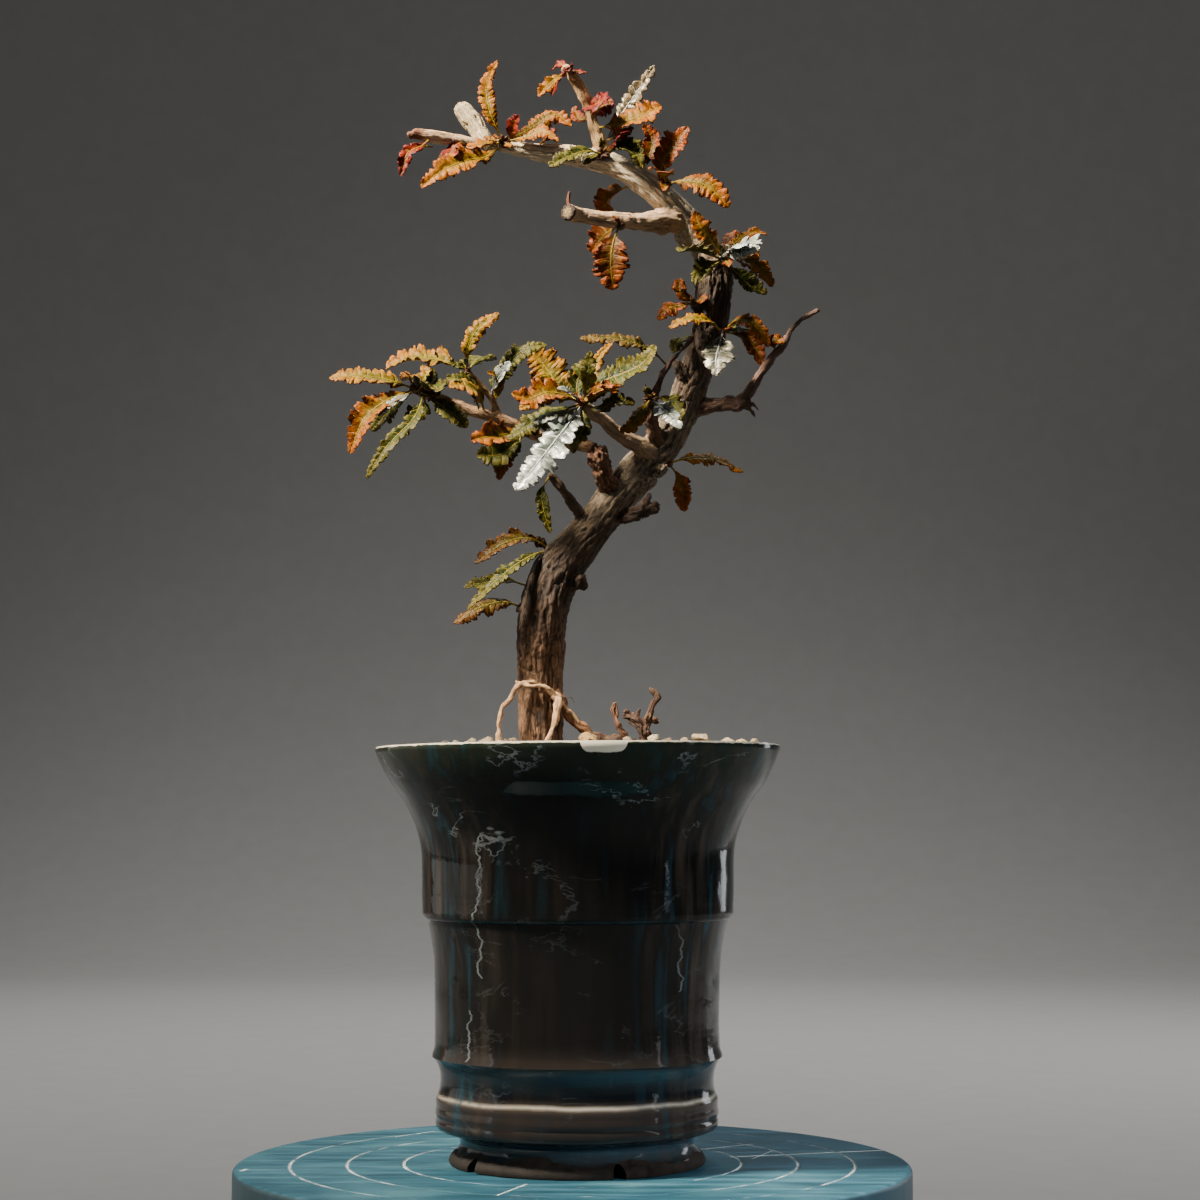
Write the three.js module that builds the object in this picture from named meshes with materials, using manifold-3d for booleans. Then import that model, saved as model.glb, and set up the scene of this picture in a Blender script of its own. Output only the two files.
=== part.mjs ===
// A boswellia bonsai in its tall glazed pot, standing on the potter's banding wheel that carries it.
// Millimetres, +Z up. The origin is the middle of the wheel foot's underside, and -Y is the front.
import * as THREE from "three";
import { mergeVertices } from "three/addons/utils/BufferGeometryUtils.js";
import Module from "manifold-3d";

// Driving dimensions
const GAP = 0.3; // clearance between two pieces that touch
const WHEEL_RADIUS = 150;
const WHEEL_THICKNESS = 18;
const WHEEL_TOP = 60; // height of the wheel's top above the table
const HUB_RADIUS = 24;
const HUB_DROP = 6;
const SPINDLE_RADIUS = 9;
const SPINDLE_INSET = 12; // depth of the spindle's bore in the wheel, above the wheel's underside
const FOOT_RADIUS = 95;
const BOSS_TOP = 30; // top of the foot's boss, under the bearing
const BOSS_FLOOR = 8; // bottom of the spindle's bore in the foot
const BEARING_RADIUS = 20;
const POT_OFFSET = 2; // the pot stands this far right of the wheel's axis
const DRAIN_RADIUS = 7;
const FOOT_RECESS = 4; // height of the shallow recess inside the foot ring
const POT_FLOOR = 12; // inside floor above the pot's own foot
const NOTCHES = 5; // drainage notches through the foot ring
const NOTCH_WIDTH = 6;
const NOTCH_HEIGHT = 6;
const NOTCH_START = -71; // degrees from +X to the first notch
const SCREEN_SIZE = 36;
const SCREEN_THICKNESS = 1;
const SCREEN_HOLES = 3; // holes along each side
const SCREEN_HOLE = 7;
const SCREEN_PITCH = 10;
const SOIL_RIM = 179; // soil level at the wall, above the pot's foot
const SOIL_DOME = 5; // how much higher the soil is in the middle
const GRAIN_SPACING = 20;
const GRAIN_RADIUS = 12;
const GRAIN_REACH = 78; // furthest grain from the pot's axis
const GRAIN_LIMIT = 84.5; // no grain reaches further out than this
const BLADE_THICKNESS = 0.7;
const THIN_LIMB = 2.3; // a limb that starts thinner than this radius has five sides
const SMALL_LEAF = 23; // a leaf shorter than this is flat, with two pairs of lobes
const ROUND = 28; // sides of the pot and of the soil in it

// The pot's outside from foot to lip and its inside from lip to floor, as [radius, height]
const POT_OUTSIDE = [
  [46, FOOT_RECESS], [47, 0], [57.2, 0], [55.8, 4], [51.9, 8.9], [53.7, 12.8], [62.5, 15.6],
  [62.6, 29.5], [61, 34.5], [61.7, 42], [64.9, 47], [63.5, 56], [63.8, 85], [67.3, 107.5],
  [69.7, 110.5], [70.4, 138.5], [72.9, 148.8], [77.9, 159.6], [86.3, 171], [91.2, 183], [90, 184.4],
];
const POT_INSIDE = [
  [87.8, 183.6], [82, 170.6], [73, 158.6], [67, 146], [64.5, 128], [58.8, 86], [57.8, 26], [48, POT_FLOOR],
];

// The tree's limbs as [x, y, z, radius], measured from the pot's axis and the wheel's top
const TRUNK = [
  [-14, 6, 146, 5], [-16, 4, 166, 8.5], [-16.3, 2, 185, 9.5], [-17, 1, 214, 10.1], [-16.6, -1, 232, 10.6],
  [-14.3, -2, 250, 11], [-9.4, -1, 263, 11], [-1.3, 0, 274, 9.5], [9.2, 2, 287, 8.6], [20, 4, 301, 8.6],
  [32, 6, 315, 8.6], [41.3, 6, 326.5, 7.9], [47.7, 5, 338, 7.7], [51.3, 4, 348, 7.4], [55, 3, 359, 7.2],
  [58.2, 1, 370.5, 7], [60.9, -1, 380.5, 7.9], [61.7, -3, 390, 8.3], [62.1, -5, 402.5, 8.1],
  [58.5, -6, 411, 6.8], [52.5, -7, 419, 6.5], [44.8, -8, 428.4, 6.3], [35.2, -9, 437, 5.9],
  [25.6, -9, 444, 5.6], [14.7, -8, 450, 5.2], [2.3, -6, 453.6, 4.7], [-8.2, -4, 455.5, 4.5],
  [-17.5, -2, 457, 4.1], [-26.7, 0, 459, 3.4], [-33.7, 1, 460.6, 2.8], [-45, -1, 461.5, 2.3],
  [-56.4, -4, 462, 2.6], [-67.6, -8, 462.8, 2.9], [-75.3, -10, 463.7, 2.2],
];
const LIMBS = {
  cutTop: [[-40, 0, 460, 3], [-42.4, 0, 463.6, 3.6], [-46.3, 3, 473, 4.1], [-53, 6, 483.2, 4.3]],
  upright: [
    [13.8, -8, 450, 4], [10.1, -9, 460.2, 3.2], [7.4, -10, 467.4, 2.6], [4.6, -12, 477, 2.9],
    [1.9, -13, 482, 2.7], [-2.2, -13, 489, 2.5], [-5, -13, 492.6, 2],
  ],
  cutFront: [
    [52, -6, 421, 5], [45, -10, 423, 5.6], [37.3, -14, 421.8, 5], [25.9, -20, 420, 3.8],
    [11.4, -26, 420.8, 3.4], [-2.9, -31, 422.7, 3.6],
  ],
  twigRight: [
    [50, 5, 338, 4], [58.6, 3, 339.4, 3.8], [66.2, 0, 340.3, 2.8], [73, -3, 340, 2.8], [77, -4, 344, 2.4],
    [82.3, -6, 352, 2], [87, -8, 359, 2], [92.6, -10, 365, 1.7], [96, -11, 371, 1.2], [101, -13, 377, 1],
    [109, -16, 380.5, 0.9],
  ],
  branchMiddle: [
    [35, 2, 316.6, 4.1], [30.6, -2, 319.3, 4.1], [19.6, -9, 324.6, 3.2], [12, -14, 330, 2.9],
    [5.2, -20, 334.7, 2.7], [2.5, -22, 335.8, 2.3],
  ],
  stubMiddle: [[37.5, 3, 321.4, 3.8], [33.7, -5, 330.3, 3.2], [32.7, -10, 341.5, 3.2]],
  twigMiddle: [
    [33.2, -10, 338, 2], [37.3, -9.5, 349.3, 1.2], [41, -10, 356.7, 1.1], [48.6, -12, 364.4, 1],
    [52, -14, 368.6, 1],
  ],
  knobLeft: [[20, 2, 298.7, 4.1], [12.8, -4, 304.3, 4.1], [8.7, -8, 317, 4.1]],
  branchLeft: [
    [9.6, -8, 316.5, 3.4], [5.6, -8, 319.3, 2.9], [-8, -10, 321.7, 2.7], [-18.7, -13, 324, 2.6],
    [-28.6, -15, 328.7, 2.6], [-41.6, -16, 333, 2.6], [-53, -16, 336.7, 2.6], [-64.2, -15, 341, 2.5],
    [-74.3, -13, 345.4, 2.3],
  ],
  forkLeft: [[-35, -15, 331, 1.9], [-39.3, -18, 341, 1.6], [-44.6, -20, 346.5, 1.5], [-49.5, -22, 352, 1.4]],
  stubLow: [[7, 0, 285, 3], [1, -2, 290, 2.6], [-5.7, -9, 298.7, 2], [-12.4, -12, 306.5, 1.8]],
  stubRight: [[14, 1, 289, 3], [26, -4, 289.7, 2.4], [35.8, -8, 292.4, 2]],
  spurRight: [[28, -5, 289.5, 1.7], [29.5, -6, 292, 1.6], [32.7, -8, 298.3, 1.1]],
  rootLeft: [
    [-22, -3, 210.5, 2], [-26.2, -8, 210.7, 1.3], [-29.8, -10, 208, 1.2], [-33.3, -11, 203, 1.3],
    [-35.5, -11, 196.6, 1.4], [-36, -10, 190.4, 1.4], [-35.6, -8, 178, 1.4],
  ],
  rootAcross: [
    [-24.5, -7, 211.5, 1.4], [-21.7, -10, 212, 1.4], [-15.4, -11, 211.4, 1.4], [-10.5, -10.5, 209.7, 1.5],
    [-8.7, -11, 203.4, 1.7], [-9.6, -12, 198.4, 1.7], [-9.1, -13, 193.5, 1.7], [-11.3, -13, 187.2, 1.7],
    [-12.7, -12, 176, 1.6],
  ],
  rootRight: [
    [-11, -3, 211, 2.2], [-7, -4.5, 204.6, 1.9], [-4.3, -5, 201, 2], [-1.1, -6, 194.6, 2.3],
    [3, -7, 190, 2.1], [5.6, -7, 184.7, 2], [8.3, -6, 174, 1.8],
  ],
};
const KNOTS = [ // leaf scars and burls as [x, y, z, radius]
  [0.2, -7, 258.5, 4.4], [-24.5, -4, 246, 3.6], [-12, -5, 272, 4], [37.5, 0, 310.5, 4.2],
  [46.5, 0, 357, 4.2], [55, -5, 385, 3.8], [64, 4, 396, 4.4], [72.5, -3, 339.5, 3.8],
  [28, -12, 448, 3.6], [1, 6, 268, 4.4],
];

// Dry pieces of root that stand in the gravel beside the tree
const DRY_TWIG = [
  [23, -22, 178, 1.3], [20, -22, 188.5, 1.3], [17.5, -21, 193.5, 1.1], [16, -20, 198, 1], [17, -20, 203, 0.8],
];
const DRY_STUMP = [
  [35, -19, 177, 2.6], [32.5, -18, 187, 2.6], [27, -16, 194, 2.3], [22.5, -15, 198.5, 1.6],
  [20, -14, 199, 1.2],
];
const DRY_SPRIG = [
  [31, -18, 190, 1.8], [34, -16, 197, 1.2], [36.5, -15, 203, 1], [36, -15, 207, 0.9], [33.5, -14, 210, 0.8],
];

// Leaves: each has its tone, its full width, the tilt of its face from the front (0) to the sky (90),
// and its rib from stalk to tip. A knob is the bud that the leaves of a spray grow from: [x, y, z, radius].
const lone = (...leaf) => ({ leaves: [leaf] });
const SPRAYS = {
  spray_tip: {
    knobs: [[-34, -3, 461.5, 4.6]],
    leaves: [
      ["gold", 7, 30, [[-36, -4, 463], [-42, -6, 476], [-46, -4, 491], [-38, -6, 502]]],
      ["gold", 11, 30, [[-36, -1, 459], [-42, -5, 454], [-51, -10, 451], [-62, -14, 445], [-71, -16, 437]]],
      ["gold", 8, 40, [[-33, -1, 461], [-23, -7, 463], [-15, -11, 464], [-9, -14, 459]]],
      ["gold", 9, 60, [[-37, -2, 460], [-43, -10, 458], [-50, -17, 455]]],
      ["amber", 9, 30, [[-32, 2, 462], [-22, 5, 470], [-11, 6, 477], [-3, 4, 471]]],
    ],
  },
  leaf_tip_red: lone("red", 7, 20, [[-31, 0, 461], [-30, -4, 468], [-27, -8, 473]]),
  leaf_end: lone("red", 6, 25, [[-67, -9, 462], [-71, -13, 457], [-77, -16, 453], [-80, -18, 442]]),
  leaf_end_small: lone("red", 7, 25, [[-55, -4, 461], [-58, -4, 454], [-61, -3, 446]]),
  spray_upright_tip: {
    knobs: [[-5, -13, 492, 3]],
    leaves: [
      ["red", 7, 30, [[-5, -14, 490], [-12, -18, 485], [-18, -20, 478]]],
      ["red", 5, 30, [[-6, -12, 491], [-10, -8, 488], [-12, -6, 483]]],
      ["red", 5, 30, [[-5, -12, 492], [-8, -9, 496], [-12, -6, 495]]],
    ],
  },
  leaf_upright_red: lone("red", 14, 30, [[5.5, -11.5, 474], [8, -20, 474], [13, -28, 474]]),
  leaf_upright_gold: lone("gold", 11, 35, [[8, -10, 466], [18, -17, 466], [28, -19, 469], [38, -18, 474]]),
  leaf_upright_back: lone("rust", 7, 25, [[6, -10, 471], [3, -2, 472], [0, 4, 475], [-2, 7, 481]]),
  leaf_upright_silver: lone(
    "silver", 9, 20, [[10.5, -9, 459], [16, -4, 466], [21, -3, 476], [29, -5, 487], [35, -8, 496]],
  ),
  spray_fork: {
    knobs: [[11.5, -13.5, 453, 4.4]],
    leaves: [
      ["green", 9, 30, [[15, -13, 454], [20, -19, 455], [26, -23, 451], [29, -24, 444]]],
      ["green", 9, 35, [[11, -13, 453], [4, -19, 453], [-5, -23, 449], [-13, -24, 445]]],
      ["red", 9, 45, [[14, -12, 456], [18, -20, 458], [22, -27, 460]]],
    ],
  },
  leaf_shoulder: lone("rust", 8, 20, [[28, -8, 447], [33, -4, 455], [34, -2, 463], [30, -3, 470]]),
  spray_shoulder: {
    knobs: [[40.5, -14, 439, 4]],
    leaves: [
      ["rust", 12, 25, [[37, -10, 441], [38, -13, 447], [43, -16, 456], [50, -16, 465]]],
      ["amber", 8, 60, [[36, -14, 439], [39, -22, 441], [41, -31, 440]]],
      ["amber", 12, 35, [[38, -13, 437], [47, -19, 439], [58, -23, 436], [68, -24, 426]]],
    ],
  },
  spray_hanging: {
    knobs: [[19, -24, 418, 4.4]],
    leaves: [
      ["rust", 12, 15, [[20, -24, 418], [16, -27, 409], [15, -28, 399], [16, -26, 388]]],
      ["rust", 10, 20, [[18, -21, 417], [12, -15, 415], [6, -9, 409]]],
    ],
  },
  leaf_hanging_back: lone("amber", 12, 30, [[23, -6, 440], [18, 0, 439], [14, 4, 436], [10, 5, 430]]),
  spray_crown: {
    knobs: [[66, -12.5, 404.5, 4.6]],
    leaves: [
      ["amber", 10, 25, [[64, -15, 408], [59, -20, 413], [55, -22, 418], [53, -21, 425]]],
      ["green", 12, 60, [[63, -15, 405], [56, -25, 405], [50, -38, 403], [45, -48, 400]]],
      ["green", 7, 40, [[63, -15, 403], [58, -23, 400], [54, -30, 395], [52, -33, 389]]],
      ["amber", 7, 45, [[66, -10, 409], [73, -4, 415], [80, 0, 420], [87, 2, 420]]],
      ["gold", 8, 45, [[67, -13, 404], [75, -17, 403], [82, -19, 399], [88, -19, 391]]],
      ["green", 9, 35, [[66, -12, 402], [73, -10, 398], [79, -8, 393], [86, -8, 390]]],
      ["rust", 5, 50, [[67, -9, 409], [69, 2, 417], [73, 12, 424]]],
      ["gold", 11, 60, [[68, -9, 406], [75, 6, 412], [80, 22, 413], [82, 36, 410]]],
    ],
  },
  leaf_crown_silver: lone("silver", 14, 50, [[66, -13, 405], [72, -24, 408], [76, -32, 408], [80, -41, 405]]),
  spray_trunk_left: {
    knobs: [[53, -8, 385.5, 3]],
    leaves: [
      ["rust", 7, 25, [[52, -8, 386], [48, -12, 388], [46, -13, 391], [47, -12, 396]]],
      ["rust", 7, 40, [[52, -9, 385], [46, -14, 383], [41, -18, 381], [36, -20, 376]]],
    ],
  },
  leaf_trunk_silver: lone("silver", 14, 15, [[66, -5, 373], [64, -15, 365], [62, -20, 357], [62, -22, 350]]),
  spray_trunk_right: {
    knobs: [[66, -5, 373, 4.2]],
    leaves: [
      ["rust", 8, 35, [[68, -5, 373], [75, -3, 371], [81, -2, 366], [84, -3, 358]]],
      ["amber", 8, 40, [[68, -8, 374], [73, -12, 377], [80, -15, 374], [86, -16, 364]]],
      ["gold", 9, 45, [[63, -11, 374], [57, -16, 376], [50, -19, 376], [41, -20, 372]]],
      ["green", 10, 60, [[68, -3, 374], [73, 12, 377], [77, 26, 377], [80, 37, 373]]],
    ],
  },
  leaf_trunk_dark: lone("green", 6, 40, [[53, -3, 371], [49, -7, 370], [45, -10, 367], [43, -12, 362]]),
  spray_right_low: {
    knobs: [[41.5, 6, 314, 3.4]],
    leaves: [
      ["amber", 9, 45, [[43, 6, 315], [51, 10, 317], [63, 12, 317], [76, 12, 311]]],
      ["rust", 9, 25, [[43, 5, 313], [46, 9, 308], [48, 12, 301], [49, 13, 293]]],
    ],
  },
  leaf_twig: lone(
    "green", 11, 45, [[40, -9, 357], [34, -14, 362], [26, -18, 365], [14, -20, 367], [1, -20, 367]],
  ),
  spray_stub: {
    knobs: [[33, -12.5, 341, 4.4]],
    leaves: [
      ["green", 8, 40, [[35, -10, 341], [39, -11, 341], [44, -12, 337], [46, -13, 331]]],
      ["gold", 7, 30, [[32, -13, 340], [29, -19, 334], [25, -23, 328], [19, -25, 324]]],
    ],
  },
  leaf_stub_silver: lone("silver", 10, 20, [[33, -12, 341], [38, -21, 335], [42, -26, 331], [46, -29, 325]]),
  spray_rosette: {
    knobs: [[2, -22, 337, 4.2]],
    leaves: [
      ["amber", 12, 40, [[1, -24, 337], [-7, -29, 340], [-14, -33, 340], [-22, -35, 337], [-29, -36, 339]]],
      ["gold", 14, 25, [[1, -21, 339], [-7, -17, 344], [-13, -14, 353], [-18, -13, 359], [-23, -13, 364]]],
      ["green", 7, 25, [[2, -23, 339], [4, -27, 344], [5, -30, 351], [6, -31, 359]]],
      ["gold", 6, 40, [[4, -19, 339], [6, -8, 350], [10, -3, 362], [16, -1, 369]]],
      ["green", 13, 35, [[4, -22, 338], [11, -24, 346], [21, -26, 350], [29, -28, 354], [35, -29, 362]]],
      ["amber", 12, 60, [[5, -24, 336], [9, -33, 339], [14, -42, 340], [18, -50, 340]]],
      ["green", 6, 20, [[3, -23, 334], [1, -22, 327], [-1, -21, 321], [-2, -21, 315]]],
      ["green", 11, 40, [[1, -23, 335], [-8, -25, 333], [-19, -27, 328], [-31, -28, 320]]],
    ],
  },
  leaf_rosette_silver: lone(
    "silver", 16, 15, [[2, -22, 337], [-4, -33, 326], [-11, -39, 316], [-19, -43, 305], [-27, -45, 295]],
  ),
  spray_under: {
    knobs: [[-23, -16, 325.5, 4]],
    leaves: [
      ["green", 13, 25, [[-23, -16, 324], [-28, -19, 319], [-35, -21, 314], [-45, -22, 314]]],
      ["amber", 12, 60, [[-24, -17, 326], [-31, -24, 323], [-39, -30, 321], [-47, -33, 319]]],
    ],
  },
  spray_left_tip: {
    knobs: [[-73, -13.5, 345, 4.2], [-69, -15, 343, 4.2], [-65, -16, 341.5, 4.2]],
    leaves: [
      ["gold", 14, 45, [[-74, -14, 346], [-85, -16, 350], [-97, -17, 352], [-112, -15, 350]]],
      ["amber", 12, 35, [[-74, -15, 343], [-86, -22, 338], [-95, -27, 329], [-101, -28, 314]]],
      ["green", 9, 35, [[-74, -12, 344], [-81, -7, 340], [-87, -4, 335], [-94, -3, 328]]],
      ["green", 7, 30, [[-65, -17, 339], [-73, -28, 329], [-84, -34, 316], [-93, -35, 302]]],
      ["green", 5, 20, [[-67, -14, 344], [-66, -12, 349], [-65, -11, 355]]],
      ["green", 9, 35, [[-63, -17, 339], [-58, -21, 334], [-53, -24, 330], [-49, -25, 326]]],
      ["green", 10, 65, [[-68, -16, 344], [-64, -26, 344], [-61, -36, 340]]],
      ["gold", 11, 70, [[-70, -12, 345], [-73, 2, 352], [-77, 18, 356], [-82, 33, 357]]],
    ],
  },
  spray_left_fork: {
    knobs: [[-49, -22, 352, 2.8]],
    leaves: [
      ["gold", 14, 45, [[-50, -22, 353], [-58, -20, 360], [-68, -19, 363], [-78, -19, 362], [-86, -20, 355]]],
      ["gold", 8, 25, [[-49, -23, 353], [-49, -27, 361], [-44, -29, 370], [-35, -28, 377]]],
      ["green", 10, 60, [[-49, -20, 352], [-45, -8, 360], [-42, 5, 363], [-39, 16, 364]]],
    ],
  },
  leaf_fork_side: lone("silver", 7, 30, [[-39, -19, 341], [-36, -24, 347], [-33, -27, 351], [-30, -28, 355]]),
  leaf_branch_left: lone("gold", 15, 55, [[-42, -17, 334], [-44, -25, 338], [-47, -34, 341]]),
  spray_low_left: {
    knobs: [[-13, -4, 273, 4]],
    leaves: [
      ["amber", 8, 40, [[-12, -2, 274], [-21, -6, 278], [-32, -10, 276], [-46, -12, 266]]],
      ["green", 7, 40, [[-12, -3, 272], [-22, -12, 269], [-35, -18, 259], [-49, -20, 245]]],
    ],
  },
  leaf_low: lone("green", 8, 40, [[-23, -2, 257], [-31, -5, 259], [-40, -8, 258], [-51, -9, 256]]),
  leaf_lowest: lone("amber", 8, 40, [[-25, -3, 247], [-33, -9, 249], [-44, -14, 246], [-55, -16, 239]]),
  leaf_stub_low: lone("green", 6, 20, [[-13, -13, 305], [-16, -18, 298], [-15, -21, 289], [-12, -22, 279]]),
  leaf_back_low: lone("green", 8, 70, [[-2, 8, 274], [-3, 22, 277], [-5, 36, 275], [-6, 46, 268]]),
  leaf_back_middle: lone("gold", 10, 70, [[33, 12, 318], [32, 27, 323], [29, 41, 322], [26, 51, 316]]),
  leaf_back_upper: lone("green", 7, 70, [[62, 3, 390], [62, 18, 396], [61, 33, 398], [60, 43, 394]]),
  leaf_back_crown: lone("amber", 10, 70, [[32, -4, 441], [30, 8, 449], [28, 23, 454], [25, 36, 454]]),
};

const COLOURS = {
  wheel: [0x1d5566, 0.45, 0.2],
  iron: [0x2b3a40, 0.55, 0.6],
  steel: [0x9a9c9e, 0.3, 0.9],
  glaze: [0x14181a, 0.12, 0],
  screen: [0x20242a, 0.6, 0],
  gravel: [0x6b5a49, 0.9, 0],
  bark: [0x8a6b4d, 0.85, 0],
  dryRoot: [0x5a4331, 0.9, 0],
  gold: [0xc9a03a, 0.6, 0],
  amber: [0xc47a2c, 0.6, 0],
  rust: [0x94501f, 0.65, 0],
  red: [0xa8402c, 0.6, 0],
  green: [0x5d6b38, 0.6, 0],
  silver: [0xaab4ac, 0.5, 0],
};

const wasm = await Module();
wasm.setup();

// A small generator, so that every gravel grain is the same on each run
function seeded(seed) {
  let state = seed;
  return () => {
    state = (state * 16807) % 2147483647;
    return state / 2147483647;
  };
}

// A closed geometry as a solid that can be joined and cut
function solid(geometry) {
  const bare = geometry.clone();
  bare.deleteAttribute("normal");
  bare.deleteAttribute("uv");
  const merged = mergeVertices(bare, 1e-4);
  const triangles = [];
  for (let i = 0; i < merged.index.count; i += 3) {
    const [a, b, c] = [0, 1, 2].map((k) => merged.index.getX(i + k));
    if (a !== b && b !== c && c !== a) triangles.push(a, b, c);
  }
  const mesh = { numProp: 3, vertProperties: merged.attributes.position.array };
  return new wasm.Manifold(new wasm.Mesh({ ...mesh, triVerts: new Uint32Array(triangles) }));
}

// The solid back as a geometry
function shape(body) {
  const mesh = body.getMesh();
  const geometry = new THREE.BufferGeometry();
  geometry.setAttribute("position", new THREE.BufferAttribute(mesh.vertProperties, 3));
  geometry.setIndex(new THREE.BufferAttribute(mesh.triVerts, 1));
  geometry.computeVertexNormals();
  return geometry;
}

function joined(solids) {
  return solids.reduce((all, next) => all.add(next));
}

// The largest body of a solid: what a cut leaves behind as a scrap is dropped
function largest(body) {
  return body.decompose().reduce((best, next) => (next.volume() > best.volume() ? next : best));
}

// A closed skin through rings of points that run anticlockwise about the way forward.
// Quads of the sides from mirrored on are split the other way, so both faces of a blade fold alike.
function loft(rings, mirrored = Infinity) {
  const sides = rings[0].length;
  const last = (rings.length - 1) * sides;
  const index = [];
  for (let ring = 0; ring < rings.length - 1; ring++) {
    for (let side = 0; side < sides; side++) {
      const a = ring * sides + side;
      const b = ring * sides + ((side + 1) % sides);
      if (side < mirrored) index.push(a, b, b + sides, a, b + sides, a + sides);
      else index.push(a, b, a + sides, b, b + sides, a + sides);
    }
  }
  for (let side = 1; side < sides - 1; side++) {
    index.push(0, side + 1, side, last, last + side, last + side + 1);
  }
  const geometry = new THREE.BufferGeometry().setFromPoints(rings.flat());
  geometry.setIndex(index);
  return geometry;
}

function curve(points) {
  const places = points.map(([x, y, z]) => new THREE.Vector3(x, y, z));
  return new THREE.CatmullRomCurve3(places, false, "centripetal");
}

// A round solid about +Z from a profile of [radius, height], run from the bottom up on its outside
function turned(profile, segments) {
  const outline = profile.map(([radius, height]) => new THREE.Vector2(radius, height));
  return new THREE.LatheGeometry(outline, segments).rotateX(Math.PI / 2);
}

// A limb of the tree: rings along a curve, with fluted bark where it is thick
function limb(points, { sides = 6, pitch = 9, grow = 0 } = {}) {
  const centre = curve(points);
  const rings = [];
  let across = new THREE.Vector3(1, 0, 0);
  const addRing = (step, part) => {
    const t = (step + part) / (points.length - 1);
    const forward = centre.getTangent(t);
    across = across.clone().addScaledVector(forward, -across.dot(forward)).normalize();
    const beside = new THREE.Vector3().crossVectors(forward, across);
    const next = points[Math.min(step + 1, points.length - 1)];
    const radius = THREE.MathUtils.lerp(points[step][3], next[3], part);
    const flute = radius > 4.5 ? 0.05 : 0.02;
    const place = centre.getPoint(t);
    rings.push(Array.from({ length: sides }, (_, side) => {
      const angle = (side / sides) * 2 * Math.PI;
      const swell = 1 + flute * Math.cos(side * Math.PI) + flute * Math.sin(2 * angle + rings.length * 0.9);
      return place.clone()
        .addScaledVector(across, (radius * swell + grow) * Math.cos(angle))
        .addScaledVector(beside, (radius * swell + grow) * Math.sin(angle));
    }));
  };
  for (let step = 0; step < points.length - 1; step++) {
    const [ax, ay, az] = points[step];
    const [bx, by, bz] = points[step + 1];
    const steps = Math.max(1, Math.round(Math.hypot(bx - ax, by - ay, bz - az) / pitch));
    for (let part = 0; part < steps; part++) addRing(step, part / steps);
  }
  addRing(points.length - 1, 0);
  return solid(loft(rings));
}

function knot([x, y, z, radius], grow = 0) {
  return solid(new THREE.IcosahedronGeometry(radius + grow, 0).translate(x, y, z));
}

// The whole tree in one piece; grown by the gap it cuts its own place in the soil and the leaves
function tree(grow) {
  const trunk = limb(TRUNK, { sides: 10, pitch: 12, grow });
  const sidesOf = (points) => (points[0][3] < THIN_LIMB ? 5 : 6);
  const limbs = Object.values(LIMBS).map((points) => limb(points, { sides: sidesOf(points), grow }));
  return joined([trunk, ...limbs, ...KNOTS.map((place) => knot(place, grow))]);
}

// One leaf: a thin arched blade with cut lobes on both sides of a raised rib, and its stalk
function blade([, width, face, rib], grow = 0) {
  const centre = curve(rib);
  const length = centre.getLength();
  const tilt = THREE.MathUtils.degToRad(face);
  const facing = new THREE.Vector3(0, -Math.cos(tilt), Math.sin(tilt));
  const small = length < SMALL_LEAF;
  const lobes = small ? 2 : length < 42 ? 3 : 4;
  const stalk = Math.min(0.16, 5 / length);
  const thick = BLADE_THICKNESS / 2 + grow;
  const rings = [];
  const addRing = (t, half, sweep, rise, ridge) => {
    const forward = centre.getTangentAt(t);
    const normal = facing.clone().addScaledVector(forward, -facing.dot(forward)).normalize();
    const right = new THREE.Vector3().crossVectors(normal, forward);
    const place = (side, height, ahead) => centre.getPointAt(t)
      .addScaledVector(right, side * (half + grow))
      .addScaledVector(normal, height)
      .addScaledVector(forward, ahead);
    const [rightUnder, rightTop] = [place(1, rise - thick, sweep), place(1, rise + thick, sweep)];
    const [leftTop, leftUnder] = [place(-1, rise + thick, sweep), place(-1, rise - thick, sweep)];
    const [ribTop, ribUnder] = [place(0, thick + ridge, 0), place(0, -thick - ridge, 0)];
    if (small) rings.push([rightUnder, rightTop, leftTop, leftUnder]);
    else rings.push([rightUnder, rightTop, ribTop, leftTop, leftUnder, ribUnder]);
  };
  addRing(0, 0.7, 0, 0, 0.3);
  addRing(stalk, 0.8, 0, 0, 0.3);
  for (let step = 1; step <= 2 * lobes; step++) {
    const along = step / (2 * lobes + 1);
    const t = stalk + (1 - stalk) * along;
    const full = (width / 2) * Math.sin(Math.PI * (0.16 + 0.76 * along));
    const isLobe = step % 2 === 1;
    const half = isLobe ? full : Math.max(0.9, full * 0.5);
    addRing(t, half, isLobe ? full * 0.25 : 0, isLobe ? half * 0.28 : half * 0.16, 0.25);
  }
  addRing(1, 0.7, 0, 0, 0);
  return solid(loft(rings, small ? 3 : 4));
}

// A bunch of leaves, each with its stalk sunk into the middle of the nearest bud, or a single leaf
function spray({ knobs = [], leaves }, grow = 0) {
  const rooted = leaves.map(([tone, width, face, rib]) => {
    const distance = ([x, y, z]) => Math.hypot(x - rib[0][0], y - rib[0][1], z - rib[0][2]);
    const [bud] = [...knobs].sort((a, b) => distance(a) - distance(b));
    return [tone, width, face, bud ? [bud.slice(0, 3), ...rib.slice(1)] : rib];
  });
  return joined([...knobs.map((place) => knot(place, grow)), ...rooted.map((leaf) => blade(leaf, grow))]);
}

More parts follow.
